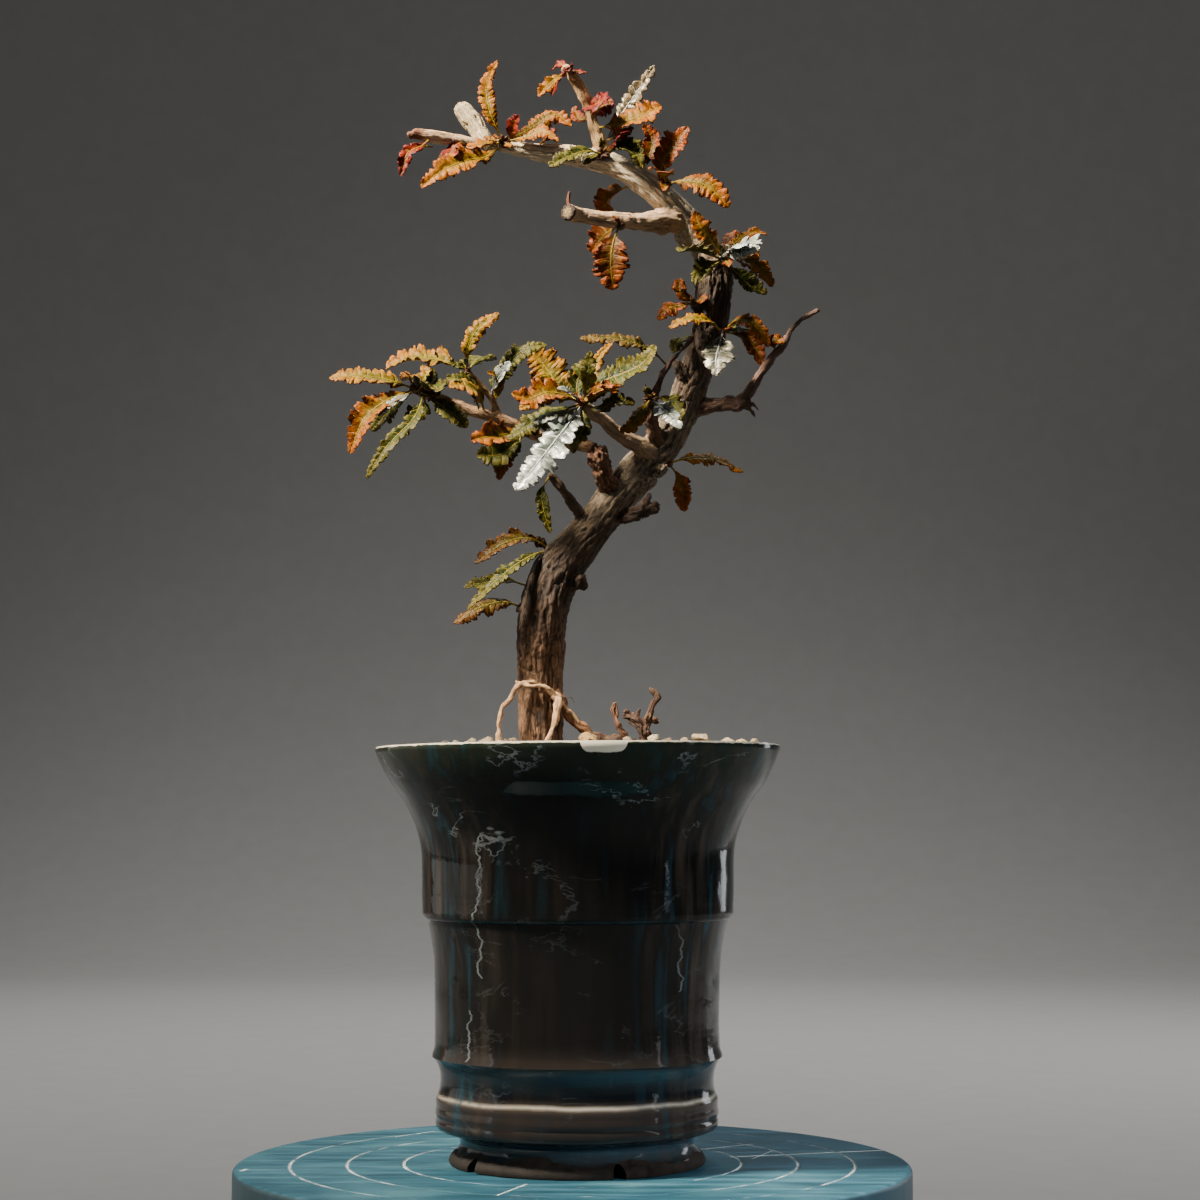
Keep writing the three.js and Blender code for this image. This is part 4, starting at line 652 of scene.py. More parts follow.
def tenmoku_glaze():
    """Reduction-fired iron glaze on stoneware: near black and glassy, brown in streaks on the wall, breaking
    to tan on the shoulder, and stopping short of the bare foot. It also carries painted reflections: green
    toward the lip and a teal tint low on the foot where the glaze faces down at the teal wheel, teal and more
    brown toward the left and right sides, and a few upright pale lines for the panels' edges."""
    made, add = new_material("tenmoku_glaze", IOR=1.43, Specular_IOR_Level=0.36)
    place = add("TexCoord").outputs["Object"]
    centred = add("VectorMath", place, tuple(POTTED), operation="SUBTRACT")
    parts = add("SeparateXYZ", centred)
    runs = add("Mapping", centred, Scale=each(7, 7, 70))
    streaks = add("TexNoise", runs, Scale=1, Detail=5)
    pools = add("TexNoise", centred, Scale=each(28), Detail=4)
    waver = add("MapRange", pools, 0.3, 0.7, -0.5 * MM, 0.5 * MM)
    height = add("Math", parts.outputs[2], waver, operation="ADD")
    share = add("Math", height, pot_high.z - pot_low.z, operation="DIVIDE")
    full = (pot_high.z - pot_low.z) / MM
    # Painted reflection: the teal tint at 7–13 mm and 38–45 mm, where the foot faces down at the wheel, and
    # the green from 162 mm to the lip, on the flare's downward face, stand for the teal wheel mirrored in the
    # glaze.
    glaze_and_reflection_bands = add("ValToRGB", share, stops=[(h / full, c) for h, c in [
        (5, "#1d1917"), (7, "#232b2f"), (13, "#20303a"), (15.5, "#1b1918"), (27, "#262220"),
        (29.4, "#37312b"), (30, "#9c968a"), (30.7, "#77726a"), (31.4, "#26221e"), (33.5, "#0d0e10"),
        (38, "#10181c"), (44.5, "#1e3038"), (47.2, "#231f1c"), (56, "#131211"), (107, "#111110"),
        (112, "#0e0e0d"), (140, "#0b0b0b"), (162, "#0d120f"), (178, "#172019"), (183, "#1c241c"),
    ]])
    # Painted reflection: the brown streaks and the teal flashes are confined to the left and right sides,
    # where the glaze mirrors the room and the teal wheel; the brown streaking itself is the glaze's own.
    off_middle = add("Math", parts.outputs[0], operation="ABSOLUTE")
    reflecting_sides = add("MapRange", off_middle, 24 * MM, 46 * MM, 0.15, 1.0)
    brown = add("MapRange", streaks, 0.48, 0.74, 0.0, 0.65)
    brown_streak_and_reflection = add("Math", brown, reflecting_sides, operation="MULTIPLY")
    streaked_and_reflected = add("Mix", brown_streak_and_reflection, glaze_and_reflection_bands, linear("#3a332d"), data_type="RGBA")
    teal_reflection = add("MapRange", streaks, 0.44, 0.3, 0.0, 0.7)
    teal_reflection_share = add("Math", teal_reflection, reflecting_sides, operation="MULTIPLY")
    teal_reflected = add("Mix", teal_reflection_share, streaked_and_reflected, linear("#16333d"), data_type="RGBA")
    # Thin milky runs where the glaze broke over the throwing rings, and a few upright pale lines on the wall
    # that are painted reflections of the panels' edges
    level = add("Mapping", centred, Scale=each(52, 52, 24))
    wander = add("TexNoise", level, Scale=1, Detail=5, Roughness=0.6, Distortion=0.5)
    off_run = add("Math", wander, 0.5, operation="SUBTRACT")
    near_run = add("Math", off_run, operation="ABSOLUTE")
    run = add("MapRange", near_run, 0.001, 0.012, 1.0, 0.0)
    shown = add("MapRange", pools, 0.5, 0.6, 0.0, 0.7)
    flare = add("MapRange", parts.outputs[2], 130 * MM, 150 * MM, 0.12, 1.0)
    flare_run = add("Math", run, flare, operation="MULTIPLY")
    run_and_reflection_share = add("Math", flare_run, shown, operation="MULTIPLY")
    upright = add("Mapping", centred, Scale=(0, 0, each(13)))
    sway = add("TexNoise", upright, Scale=1, Detail=4)
    swayed = add("MapRange", sway, 0.3, 0.7, -4 * MM, 4 * MM)
    sideways = add("Math", parts.outputs[0], swayed, operation="ADD")
    edge_reflection_strength = add("MapRange", pools, 0.42, 0.6, 0.1, 0.5)
    for middle, low, high in REFLECTED_PANEL_EDGES:
        off_line = add("Math", sideways, middle * MM, REFLECTED_EDGE_WIDTH * MM, operation="COMPARE")
        off_height = add("Math", parts.outputs[2], (low + high) / 2 * MM, (high - low) / 2 * MM,
                         operation="COMPARE")
        here = add("Math", off_line, off_height, operation="MULTIPLY")
        reflected_edge = add("Math", here, edge_reflection_strength, operation="MULTIPLY")
        run_and_reflection_share = add("Math", run_and_reflection_share, reflected_edge, operation="MAXIMUM")
    milky = add("Mix", run_and_reflection_share, teal_reflected, linear("#6f777b"), data_type="RGBA")
    # The cream lip, and the drip that runs from it at the front
    off_drip = add("Math", parts.outputs[0], DRIP_MIDDLE * MM, operation="SUBTRACT")
    squared = add("Math", off_drip, off_drip, operation="MULTIPLY")
    fourth = add("Math", squared, squared, operation="MULTIPLY")
    eighth = add("Math", fourth, fourth, operation="MULTIPLY")
    hang = add("MapRange", eighth, (DRIP_HALF * MM) ** 8, 0.0, 0.0, DRIP_LENGTH * MM)
    front = add("Math", parts.outputs[1], 0.0, operation="LESS_THAN")
    front_hang = add("Math", hang, front, operation="MULTIPLY")
    reach = add("Math", parts.outputs[2], front_hang, operation="ADD")
    fine = add("TexNoise", centred, Scale=each(5), Detail=3)
    ragged = add("MapRange", fine, 0.3, 0.7, -0.25 * MM, 0.25 * MM)
    ragged_level = add("Math", reach, ragged, operation="ADD")
    tilt = add("Math", parts.outputs[0], RIM_TILT, operation="MULTIPLY")
    lip_level = add("Math", ragged_level, tilt, operation="SUBTRACT")
    lip = add("MapRange", lip_level, (LIP_LEVEL - 0.4) * MM, LIP_LEVEL * MM, 0.0, 1.0)
    lipped = add("Mix", lip, milky, linear("#d8d2bd"), data_type="RGBA")
    # The bare clay of the foot
    glaze_line = add("MapRange", pools, 0.35, 0.65, -3 * MM, 2.5 * MM)
    foot_level = add("Math", parts.outputs[2], glaze_line, operation="ADD")
    bare = add("MapRange", foot_level, FOOT_HEIGHT * MM, (FOOT_HEIGHT + 0.5) * MM, 1.0, 0.0)
    clay = add("ValToRGB", fine, stops=[(0.3, "#171412"), (0.7, "#27221e")])
    colour = add("Mix", bare, lipped, clay, data_type="RGBA")
    gloss = add("MapRange", pools, 0.3, 0.7, 0.05, 0.14)
    roughness = add("Mix", bare, gloss, 0.8)
    grain = add("TexNoise", centred, Scale=each(0.8), Detail=2)
    rough_height = add("Math", grain, bare, operation="MULTIPLY")
    ripple = add("TexNoise", centred, Scale=each(8), Detail=4, Roughness=0.5)
    rippled = add("Bump", Height=ripple, Distance=0.35 * MM, Strength=0.5)
    bump = add("Bump", Height=rough_height, Distance=0.3 * MM, Strength=0.7, Normal=rippled)
    return connect(made, Base_Color=colour, Roughness=roughness, Normal=bump)


def moulded_mesh():
    """Moulded polypropylene mesh: dark, slightly waxy."""
    made, add = new_material("moulded_mesh", IOR=1.49)
    place = add("TexCoord").outputs["Object"]
    grain = add("TexNoise", place, Scale=each(1.5), Detail=2)
    colour = add("ValToRGB", grain, stops=[(0.3, "#191c20"), (0.7, "#262a2f")])
    roughness = add("MapRange", grain, 0.3, 0.7, 0.45, 0.6)
    return connect(made, Base_Color=colour, Roughness=roughness)


def grit():
    """Crushed lava, fired clay and pumice: each stone has its own earth tone, pitted and dusty."""
    made, add = new_material("grit", IOR=1.45, Roughness=0.9)
    place = add("TexCoord").outputs["Object"]
    tone = add("Attribute", attribute_name="tone")
    pits = add("TexNoise", place, Scale=each(1.2), Detail=4)
    dust = add("TexNoise", place, Scale=each(6), Detail=3)
    pitted = add("MapRange", pits, 0.35, 0.6, 0.45, 1.1)
    darkened = add("VectorMath", tone, Scale=pitted, operation="SCALE")
    dusty = add("MapRange", dust, 0.5, 0.75, 0.0, 0.35)
    colour = add("Mix", dusty, darkened, linear("#9c8c72"), data_type="RGBA")
    bump = add("Bump", Height=pits, Distance=0.5 * MM, Strength=0.8)
    return connect(made, Base_Color=colour, Normal=bump)


def ridged_bark(name):
    """Dry bark: its tone comes from the limb, darker in the fissures, with fibres that run along the limb."""
    made, add = new_material(name, IOR=1.45)
    grain = add("Attribute", attribute_name="grain").outputs["Vector"]
    tone = add("Attribute", attribute_name="tone").outputs["Color"]
    fissure = add("Attribute", attribute_name="fissure").outputs["Fac"]
    drawn = add("Mapping", grain, Scale=each(0.8, 0.8, 9))
    fibres = add("TexNoise", drawn, Scale=1, Detail=5, Distortion=0.4)
    split = add("Mapping", grain, Scale=each(1.3, 1.3, 11))
    splits = add("TexNoise", split, Scale=1, Detail=2, Distortion=0.5)
    blotches = add("TexNoise", grain, Scale=each(11), Detail=3)
    off_split = add("Math", splits, 0.5, operation="SUBTRACT")
    aside = add("Math", off_split, operation="ABSOLUTE")
    crack = add("MapRange", aside, 0.0, 0.04, 0.45, 1.0)
    light = add("MapRange", fibres, 0.34, 0.66, 0.68, 1.35)
    patch = add("MapRange", blotches, 0.35, 0.65, 0.8, 1.15)
    lit = add("Math", light, crack, operation="MULTIPLY")
    patched = add("Math", lit, patch, operation="MULTIPLY")
    shade = add("MapRange", fissure, 0.2, 0.95, 1.0, 0.2)
    depth = add("Math", patched, shade, operation="MULTIPLY")
    colour = add("VectorMath", tone, Scale=depth, operation="SCALE")
    roughness = add("MapRange", fibres, 0.3, 0.7, 0.72, 0.9)
    relief = add("Math", fibres, crack, operation="MULTIPLY")
    bump = add("Bump", Height=relief, Distance=0.8 * MM, Strength=0.9)
    return connect(made, Base_Color=colour, Roughness=roughness, Normal=bump)


def quilted_leaf(name, veins, roughest, **sockets):
    """A thin leaf, puckered between its pale side veins: the folds catch the light, the edges are darker."""
    made, add = new_material(name, IOR=1.42, **sockets)
    vein_place = add("Attribute", attribute_name="vein_place").outputs["Vector"]
    tone = add("Attribute", attribute_name="tone").outputs["Color"]
    place = add("TexCoord").outputs["Object"]
    parts = add("SeparateXYZ", vein_place)
    within = add("Math", parts.outputs[0], operation="FRACT")
    offset = add("Math", within, 0.5, operation="SUBTRACT")
    off_vein = add("Math", offset, operation="ABSOLUTE")
    narrow = add("MapRange", parts.outputs[1], 0.0, 1.0, 0.06, 0.015)
    ratio = add("Math", off_vein, narrow, operation="DIVIDE")
    side_vein = add("MapRange", ratio, 0.5, 1.3, 1.0, 0.0)
    near_edge = add("MapRange", parts.outputs[1], 0.75, 0.92, 1.0, 0.0)
    vein = add("Math", side_vein, near_edge, operation="MULTIPLY")
    rib = add("MapRange", parts.outputs[1], 0.02, 0.06, 1.0, 0.0)
    pale = add("Math", vein, rib, operation="MAXIMUM")
    blotches = add("TexNoise", place, Scale=each(2.6), Detail=5)
    light = add("MapRange", blotches, 0.34, 0.66, 0.45, 1.35)
    margin = add("MapRange", parts.outputs[1], 0.88, 1.0, 1.0, 0.55)
    shade = add("Math", light, margin, operation="MULTIPLY")
    mottled = add("VectorMath", tone, Scale=shade, operation="SCALE")
    paled = add("Mix", 0.6, tone, linear(veins), data_type="RGBA")
    pale_share = add("Math", pale, parts.outputs[2], operation="MULTIPLY")
    colour = add("Mix", pale_share, mottled, paled, data_type="RGBA")
    pucker = add("TexNoise", place, Scale=each(1.5), Detail=3)
    sunk = add("Math", pucker, vein, operation="SUBTRACT")
    bump = add("Bump", Height=sunk, Distance=0.5 * MM, Strength=0.8)
    roughness = add("MapRange", blotches, 0.3, 0.7, roughest - 0.2, roughest)
    return connect(made, Base_Color=colour, Roughness=roughness, Normal=bump)


def matt_paper():
    """A plain pale paper sweep: matt, with hardly any tooth."""
    made, add = new_material("matt_paper", Roughness=0.95)
    place = add("TexCoord").outputs["Object"]
    tooth = add("TexNoise", place, Scale=each(30), Detail=2)
    colour = add("ValToRGB", tooth, stops=[(0.3, "#c9c7c2"), (0.7, "#cdcbc6")])
    return connect(made, Base_Color=colour)


# Shapes

def placed(rows):
    """Table rows in millimetres from the pot's foot, as metres in the frame."""
    rows = np.array(rows, float) * MM
    rows[:, :3] += POTTED
    return rows


def between(a, b, start, end, t):
    """The value at t of a straight run from a at the start to b at the end."""
    return a + (b - a) * (t - start) / (end - start)


def rough(*place):
    """Smooth noise from -1 to 1 at a place."""
    return noise.noise(Vector(place))


def run_along(path):
    """How far along a path each of its stations lies."""
    return np.concatenate([[0], np.cumsum(np.linalg.norm(np.diff(path[:, :3], axis=0), axis=1))])


def smooth_path(rows, spacing):
    """Evenly spaced stations on the centripetal Catmull-Rom curve through the rows' points."""
    rows = np.array(rows, float)
    ends = np.vstack([2 * rows[0] - rows[1], rows, 2 * rows[-1] - rows[-2]])
    dense = []
    for p0, p1, p2, p3 in zip(ends, ends[1:], ends[2:], ends[3:]):
        t0 = 0
        t1 = t0 + np.linalg.norm((p1 - p0)[:3]) ** 0.5
        t2 = t1 + np.linalg.norm((p2 - p1)[:3]) ** 0.5
        t3 = t2 + np.linalg.norm((p3 - p2)[:3]) ** 0.5
        for t in np.linspace(t1, t2, 12, endpoint=False):
            a1 = between(p0, p1, t0, t1, t)
            a2 = between(p1, p2, t1, t2, t)
            a3 = between(p2, p3, t2, t3, t)
            dense.append(between(between(a1, a2, t0, t2, t), between(a2, a3, t1, t3, t), t1, t2, t))
    dense = np.array([*dense, rows[-1]])
    run = run_along(dense)
    stations = np.linspace(0, run[-1], max(2, round(run[-1] / spacing) + 1))
    return np.column_stack([np.interp(stations, run, column) for column in dense.T])


def ways(path, hint=Vector((1, 0, 0)), carried=True):
    """At each station: its centre, the way ahead, the way up nearest to the hint, and the way aside."""
    result = []
    for centre, ahead in zip(path[:, :3], np.gradient(path[:, :3], axis=0)):
        ahead = Vector(ahead).normalized()
        up = (hint - ahead * ahead.dot(hint)).normalized()
        if carried:
            hint = up
        result.append((Vector(centre), ahead, up, up.cross(ahead)))
    return result


def add_tube(bm, path, sides):
    """A closed tube along a path of x, y, z and radius: a grid that is rolled up and capped."""
    stations = ways(path)
    grid = bmesh.ops.create_grid(bm, x_segments=sides, y_segments=len(path) - 1, size=1)["verts"]
    for vert in grid:
        turn = math.pi * (vert.co.x + 1)
        step = round((vert.co.y + 1) / 2 * (len(path) - 1))
        centre, _, up, aside = stations[step]
        vert.co = centre + (math.cos(turn) * up - math.sin(turn) * aside) * path[step][3]
    bmesh.ops.remove_doubles(bm, verts=grid, dist=1e-7)
    verts = [vert for vert in grid if vert.is_valid]
    rim = {edge for vert in verts for edge in vert.link_edges if edge.is_boundary}
    bmesh.ops.holes_fill(bm, edges=list(rim), sides=sides)
    return verts


def make_piece(name, bm, material, sharp=180):
    """A finished object at the origin from a bmesh, smooth but for edges sharper than the angle."""
    mesh = bpy.data.meshes.new(name)
    bm.to_mesh(mesh)
    bm.free()
    piece = bpy.data.objects.new(name, mesh)
    bpy.context.scene.collection.objects.link(piece)
    mesh.shade_smooth()
    if sharp < 180:
        mesh.set_sharp_from_angle(angle=math.radians(sharp))
    mesh.materials.append(material)
    return piece


def dress(piece, slot, *nodes, body=HEAD):
    """The piece rides on its body and stands for its CAD nodes, which it hides; the slot is not used."""
    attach(piece, body)
    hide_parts(*nodes)


def apply_modifiers(piece):
    """The piece's mesh as its modifiers leave it, with no modifiers left on it."""
    shaped = piece.evaluated_get(bpy.context.evaluated_depsgraph_get())
    mesh = bpy.data.meshes.new_from_object(shaped)
    piece.modifiers.clear()
    old = piece.data
    piece.data = mesh
    bpy.data.meshes.remove(old)
    mesh.name = piece.name


def spun(profile, steps):
    """A closed round bmesh about +Z from a closed or axis-to-axis profile of radius and height."""
    bm = bmesh.new()
    verts = [bm.verts.new((radius * MM, 0, height * MM)) for radius, height in profile]
    edges = [bm.edges.new(pair) for pair in zip(verts, verts[1:])]
    if profile[0][0] > 0:
        edges.append(bm.edges.new((verts[-1], verts[0])))
    bmesh.ops.spin(bm, geom=verts + edges, angle=2 * math.pi, steps=steps, axis=(0, 0, 1), cent=(0, 0, 0),
                   dvec=(0, 0, 0), use_merge=True)
    bmesh.ops.remove_doubles(bm, verts=bm.verts, dist=1e-7)
    bmesh.ops.recalc_face_normals(bm, faces=bm.faces)
    return bm


def rounded(profile, radius=1.2, segments=3):
    """A profile of straight runs with each inner corner cut to a small arc."""
    result = [profile[0]]
    for before, corner, after in zip(profile, profile[1:], profile[2:]):
        before, corner, after = Vector(before), Vector(corner), Vector(after)
        size = min(radius, (before - corner).length / 2.2, (after - corner).length / 2.2)
        start = corner + (before - corner).normalized() * size
        end = corner + (after - corner).normalized() * size
        for i in range(segments + 1):
            t = i / segments
            result.append(tuple(start * (1 - t) ** 2 + corner * 2 * t * (1 - t) + end * t ** 2))
    result.append(profile[-1])
    return result


# The wheel

def wheel_head_profile():
    """The head's section from the bore's top out and up to the middle of the top, with its turned rings."""
    low, high = wheel_low.z / MM, wheel_high.z / MM
    under = high - HEAD_THICKNESS
    edge = WHEEL_RADIUS / MM
    outline = rounded([
        (0, under + 12), (BORE_RADIUS, under + 12), (BORE_RADIUS, low), (HUB_RADIUS, low),
        (HUB_RADIUS, under), (edge - 2, under), (edge, under + 2), (edge, high - 1.5), (edge - 1.5, high),
        (0, high),
    ])
    top = [(edge - 3, high)]
    for ring in range(int(edge // RING_SPACING) - (edge % RING_SPACING < 1), 0, -1):
        for step in RING_STEPS:
            depth = RING_DEPTH * max(0, 1 - (2.2 * step) ** 2) if abs(step) < 0.5 else 0
            top.append((ring * RING_SPACING - step * RING_WIDTH, high - depth))
    return [*outline[:-1], *top, (0, high)]


enamel = brushed_enamel()
steel = turned_steel()
head = make_piece("wheel_head_painted", spun(wheel_head_profile(), WHEEL_STEPS), enamel, sharp=50)
dress(head, "wheel_paint", "turntable_head")

foot = make_piece("wheel_foot_painted", spun(rounded(FOOT_SECTION), FOOT_STEPS), enamel, sharp=50)
dress(foot, "foot_paint", "turntable_foot", body="wheel_foot")

low, high = (corner.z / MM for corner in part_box("turntable_bearing"))
race = [
    (BORE_RADIUS, low), (BEARING_RADIUS, low), (BEARING_RADIUS, 32.6), (BEARING_RADIUS - 0.6, 33),
    (BEARING_RADIUS, 33.4), (BEARING_RADIUS, high), (BORE_RADIUS, high),
]
bearing = make_piece("bearing_turned", spun(race, BEARING_STEPS), steel, sharp=30)
dress(bearing, "steel", "turntable_bearing", body="wheel_foot")

for name, material in [("turntable_spindle", steel), ("drain_screen", moulded_mesh())]:
    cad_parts[name].data.materials.clear()
    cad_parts[name].data.materials.append(material)


# The pot

def potter_marks(x, y, z):
    """How far the potter's hands left the wall out of true at a place, in millimetres."""
    broad = rough(x / 42, y / 42, z / 30)
    close = rough(x / 13, y / 13, z / 9 + 7)
    throwing = math.sin(2 * math.pi * z / 3.4 + 2 * broad)
    return 0.5 * broad + 0.16 * close + 0.05 * throwing


profile = []
for run in POT_RUNS:
    profile += list(smooth_path(run, PROFILE_STATION))[:-1]
pot_mesh = spun(profile, POT_STEPS)
for vert in pot_mesh.verts:
    x, y, z = vert.co / MM
    radius = math.hypot(x, y)
    if z > FOOT_HEIGHT and radius > WALL_RADIUS:
        out = potter_marks(x, y, z)
        if radius > LIP_RADIUS and y < 0:
            off_drip = (x - DRIP_MIDDLE) / DRIP_HALF
            thick = max(0, min(1, (z - LIP_LEVEL + DRIP_LENGTH) / 2))
            out += DRIP_THICKNESS * max(0, 1 - off_drip ** 2) * thick
        vert.co.x *= 1 + out / radius
        vert.co.y *= 1 + out / radius
    tilted = max(0, z - LIP_LEVEL + TILT_DEPTH) / TILT_DEPTH
    vert.co.z += RIM_TILT * vert.co.x * tilted
bmesh.ops.translate(pot_mesh, verts=pot_mesh.verts, vec=POTTED)
pot = make_piece("pot_glazed", pot_mesh, tenmoku_glaze(), sharp=55)

notch_mesh = bmesh.new()
for i in range(NOTCHES):
    angle = math.radians(NOTCH_START + i * 360 / NOTCHES)
    turn = Matrix.Translation(POTTED) @ Matrix.Rotation(angle, 4, "Z")
    arch = Matrix.Translation((NOTCH_RADIUS * MM, 0, 0)) @ Matrix.Rotation(math.pi / 2, 4, "Y")
    cone = bmesh.ops.create_cone(notch_mesh, segments=24, cap_ends=True, radius1=NOTCH_WIDTH / 2 * MM,
                                 radius2=NOTCH_WIDTH / 2 * MM, depth=NOTCH_DEPTH * MM, matrix=arch)
    for vert in cone["verts"]:
        vert.co.z *= 2 * NOTCH_HEIGHT / NOTCH_WIDTH
    bmesh.ops.transform(notch_mesh, matrix=turn, verts=cone["verts"])
notches = make_piece("notch_cutter", notch_mesh, pot.data.materials[0])
cut = pot.modifiers.new("notches", "BOOLEAN")
cut.object = notches
cut.operation = "DIFFERENCE"
cut.solver = "MANIFOLD"
apply_modifiers(pot)
bpy.data.objects.remove(notches)
pot.data.set_sharp_from_angle(angle=math.radians(55))
dress(pot, "glaze", "pot")


# Wood

def grown_wood(name, limbs, burls, voxel, material):
    """One closed skin round all the limbs, melted together where they meet."""
    bm = bmesh.new()
    for path in limbs:
        add_tube(bm, path, LIMB_SIDES)
    for x, y, z, radius in burls:
        burl = bmesh.ops.create_icosphere(bm, subdivisions=2, radius=radius)["verts"]
        bmesh.ops.translate(bm, verts=burl, vec=(x, y, z))
    piece = make_piece(name, bm, material)
    melt = piece.modifiers.new("melt", "REMESH")
    melt.mode = "VOXEL"
    melt.voxel_size = voxel
    melt.use_smooth_shade = True
    soften = piece.modifiers.new("soften", "SMOOTH")
    soften.factor = 0.5
    soften.iterations = 3
    apply_modifiers(piece)
    return piece


def limb_places(points, limbs):
    """For each point the limb that it lies on, the station there, and its place in that limb's own grain."""
    owner = np.concatenate([np.full(len(path), i) for i, path in enumerate(limbs)])
    centres = np.concatenate([path[:, :3] for path in limbs])
    radii = np.concatenate([path[:, 3] for path in limbs])
    runs = np.concatenate([run_along(path) for path in limbs])
    frames = [way for path in limbs for way in ways(path)]
    ahead, up, aside = (np.array([way[i] for way in frames]) for i in (1, 2, 3))
    near = np.concatenate([
        (np.linalg.norm(chunk[:, None] - centres[None], axis=2) - radii).argmin(axis=1)
        for chunk in np.array_split(points, max(1, len(points) // 2000))
    ])
    offset = points - centres[near]
    grain = np.column_stack([
        (offset * up[near]).sum(axis=1), (offset * aside[near]).sum(axis=1),
        runs[near] + (offset * ahead[near]).sum(axis=1),
    ])
    return owner[near], radii[near], grain


def bark_relief(grain, radius, seed):
    """The bark's height in millimetres and its fissures' darkness, at a place in the limb's grain."""
    a, b, s = grain / MM
    thick = min(1, radius / MM / 8)
    drift = 1.5 * rough(a / 7, b / 7, s / 13 + seed)
    rope = min(1, 3.4 * abs(rough((a + drift) / 2.1, (b - drift) / 2.1, s / 18 + seed)))
    strand = min(1, 3 * abs(rough((a + drift) / 1.1, (b - drift) / 1.1, s / 11 + seed + 9)))
    plates = noise.voronoi(Vector((a / 3.6, b / 3.6, s / 8 + seed)))[0]
    split = min(1, (plates[1] - plates[0]) / 0.12)
    lump = rough(a / 8, b / 8, s / 12 + seed + 50)
    knob = rough(a / 2.6, b / 2.6, s / 3 + seed + 80)
    height = (0.12 + 0.5 * thick) * (rope - 0.5) + (0.1 + 0.34 * thick) * (strand - 0.5)
    height += 0.35 * thick * (split - 1) + (0.2 + 0.35 * thick) * lump + 0.2 * knob
    dark = max((1 - rope) ** 2, 0.8 * (1 - strand) ** 2, 0.8 * (1 - split)) * (0.15 + 0.85 * thick ** 2)
    return height, dark


def roughen_bark(piece, limbs, tone_of, strengths, seed=0.0):
    """Raises the bark on a piece of wood, and keeps its grain, tone and fissures for the material, with
    painted light that lightens the tone on faces turned up.
    """
    mesh = piece.data
    points, normals = np.empty((2, len(mesh.vertices) * 3))
    mesh.vertices.foreach_get("co", points)
    mesh.vertex_normals.foreach_get("vector", normals)
    points, normals = points.reshape(-1, 3), normals.reshape(-1, 3)
    owners, radii, grains = limb_places(points, limbs)
    heights, fissures = np.array([
        bark_relief(grain, radius, seed + 7.3 * owner) for grain, radius, owner in zip(grains, radii, owners)
    ]).T
    tones = np.array([tone_of(*place) for place in zip(owners, points, grains, radii)])
    # Painted light: the bark is made lighter where it faces up and darker where it faces down.
    tones[:, :3] *= (0.92 + 0.2 * normals[:, 2:3])
    points += normals * (heights * np.array(strengths)[owners] * MM)[:, None]
    mesh.vertices.foreach_set("co", points.ravel())
    for name, kind, key, values in [
        ("grain", "FLOAT_VECTOR", "vector", grains), ("fissure", "FLOAT", "value", fissures),
        ("tone", "FLOAT_COLOR", "color", tones),
    ]:
        mesh.attributes.new(name, kind, "POINT").data.foreach_set(key, values.ravel())
    mesh.update()


def grown_path(rows, seed, wander):
    """A limb's stations in metres, with the small bends and swellings of growth."""
    path = smooth_path(placed(rows), STATION)
    for i, station in enumerate(path):
        s = i * STATION / MM
        middle = min(1, i / 4, (len(path) - 1 - i) / 4)
        for axis in range(3):
            shift = rough(s / 7, axis * 9.1, seed) + 0.5 * rough(s / 3, axis * 5.3, seed)
            station[axis] += shift * wander * 3.4 * middle * (0.4 * MM + 0.3 * station[3])
        station[3] *= 1 + 0.16 * rough(s / 5, 77, seed)
    return path


trunk_path = smooth_path(placed(TRUNK), STATION)
limb_paths = [grown_path(rows, seed, ROOT_WANDER if "root" in name else LIMB_WANDER)
              for seed, (name, rows) in enumerate(LIMBS.items())]
burls = placed(BURLS) * (1, 1, 1, BURL_SIZE)
tree = grown_wood("bonsai_wood", [trunk_path, *limb_paths], burls, WOOD_VOXEL, ridged_bark("boswellia_bark"))
tone_heights = [height for height, _ in TRUNK_TONES_LIT_AND_SHADED]
lit_and_shaded_tone_columns = np.array([linear(colour) for _, colour in TRUNK_TONES_LIT_AND_SHADED]).T


def tree_tone(owner, point, grain, radius):
    """The bark's tone at a point: the trunk's by height, with its painted light and shade, a limb's own, sawn
    wood, and the dark knot eyes.
    """
    x, y, z = (point - np.array(POTTED)) / MM
    if owner:
        name = list(LIMBS)[owner - 1]
        tone = np.array(linear(LIMB_TONES[name]))
        if name in CUT_ENDS:
            past = grain[2] - (len(limb_paths[owner - 1]) - 2) * STATION
            if past > 0:
                wood, ring = CUT_ENDS[name]
                tone = np.array(linear(wood if math.hypot(grain[0], grain[1]) < 0.6 * radius else ring))
    else:
        tone = np.array([np.interp(z, tone_heights, column) for column in lit_and_shaded_tone_columns])
        share = min(1, max(0, (TRUNK_END_START - x) / 5))
        tone = tone + (np.array(linear(TRUNK_END)) - tone) * share
    for eye in KNOT_EYES:
        away = math.dist((x, y, z), eye[:3]) / eye[3]
        if away < 1:
            tone = tone * (0.12 + 0.88 * away ** 2)
    return tone


strengths = [TRUNK_ROUGHNESS, *[ROUGH_LIMBS.get(name, 1) for name in LIMBS]]
roughen_bark(tree, [trunk_path, *limb_paths], tree_tone, strengths)
dress(tree, "bark", "tree_wood")

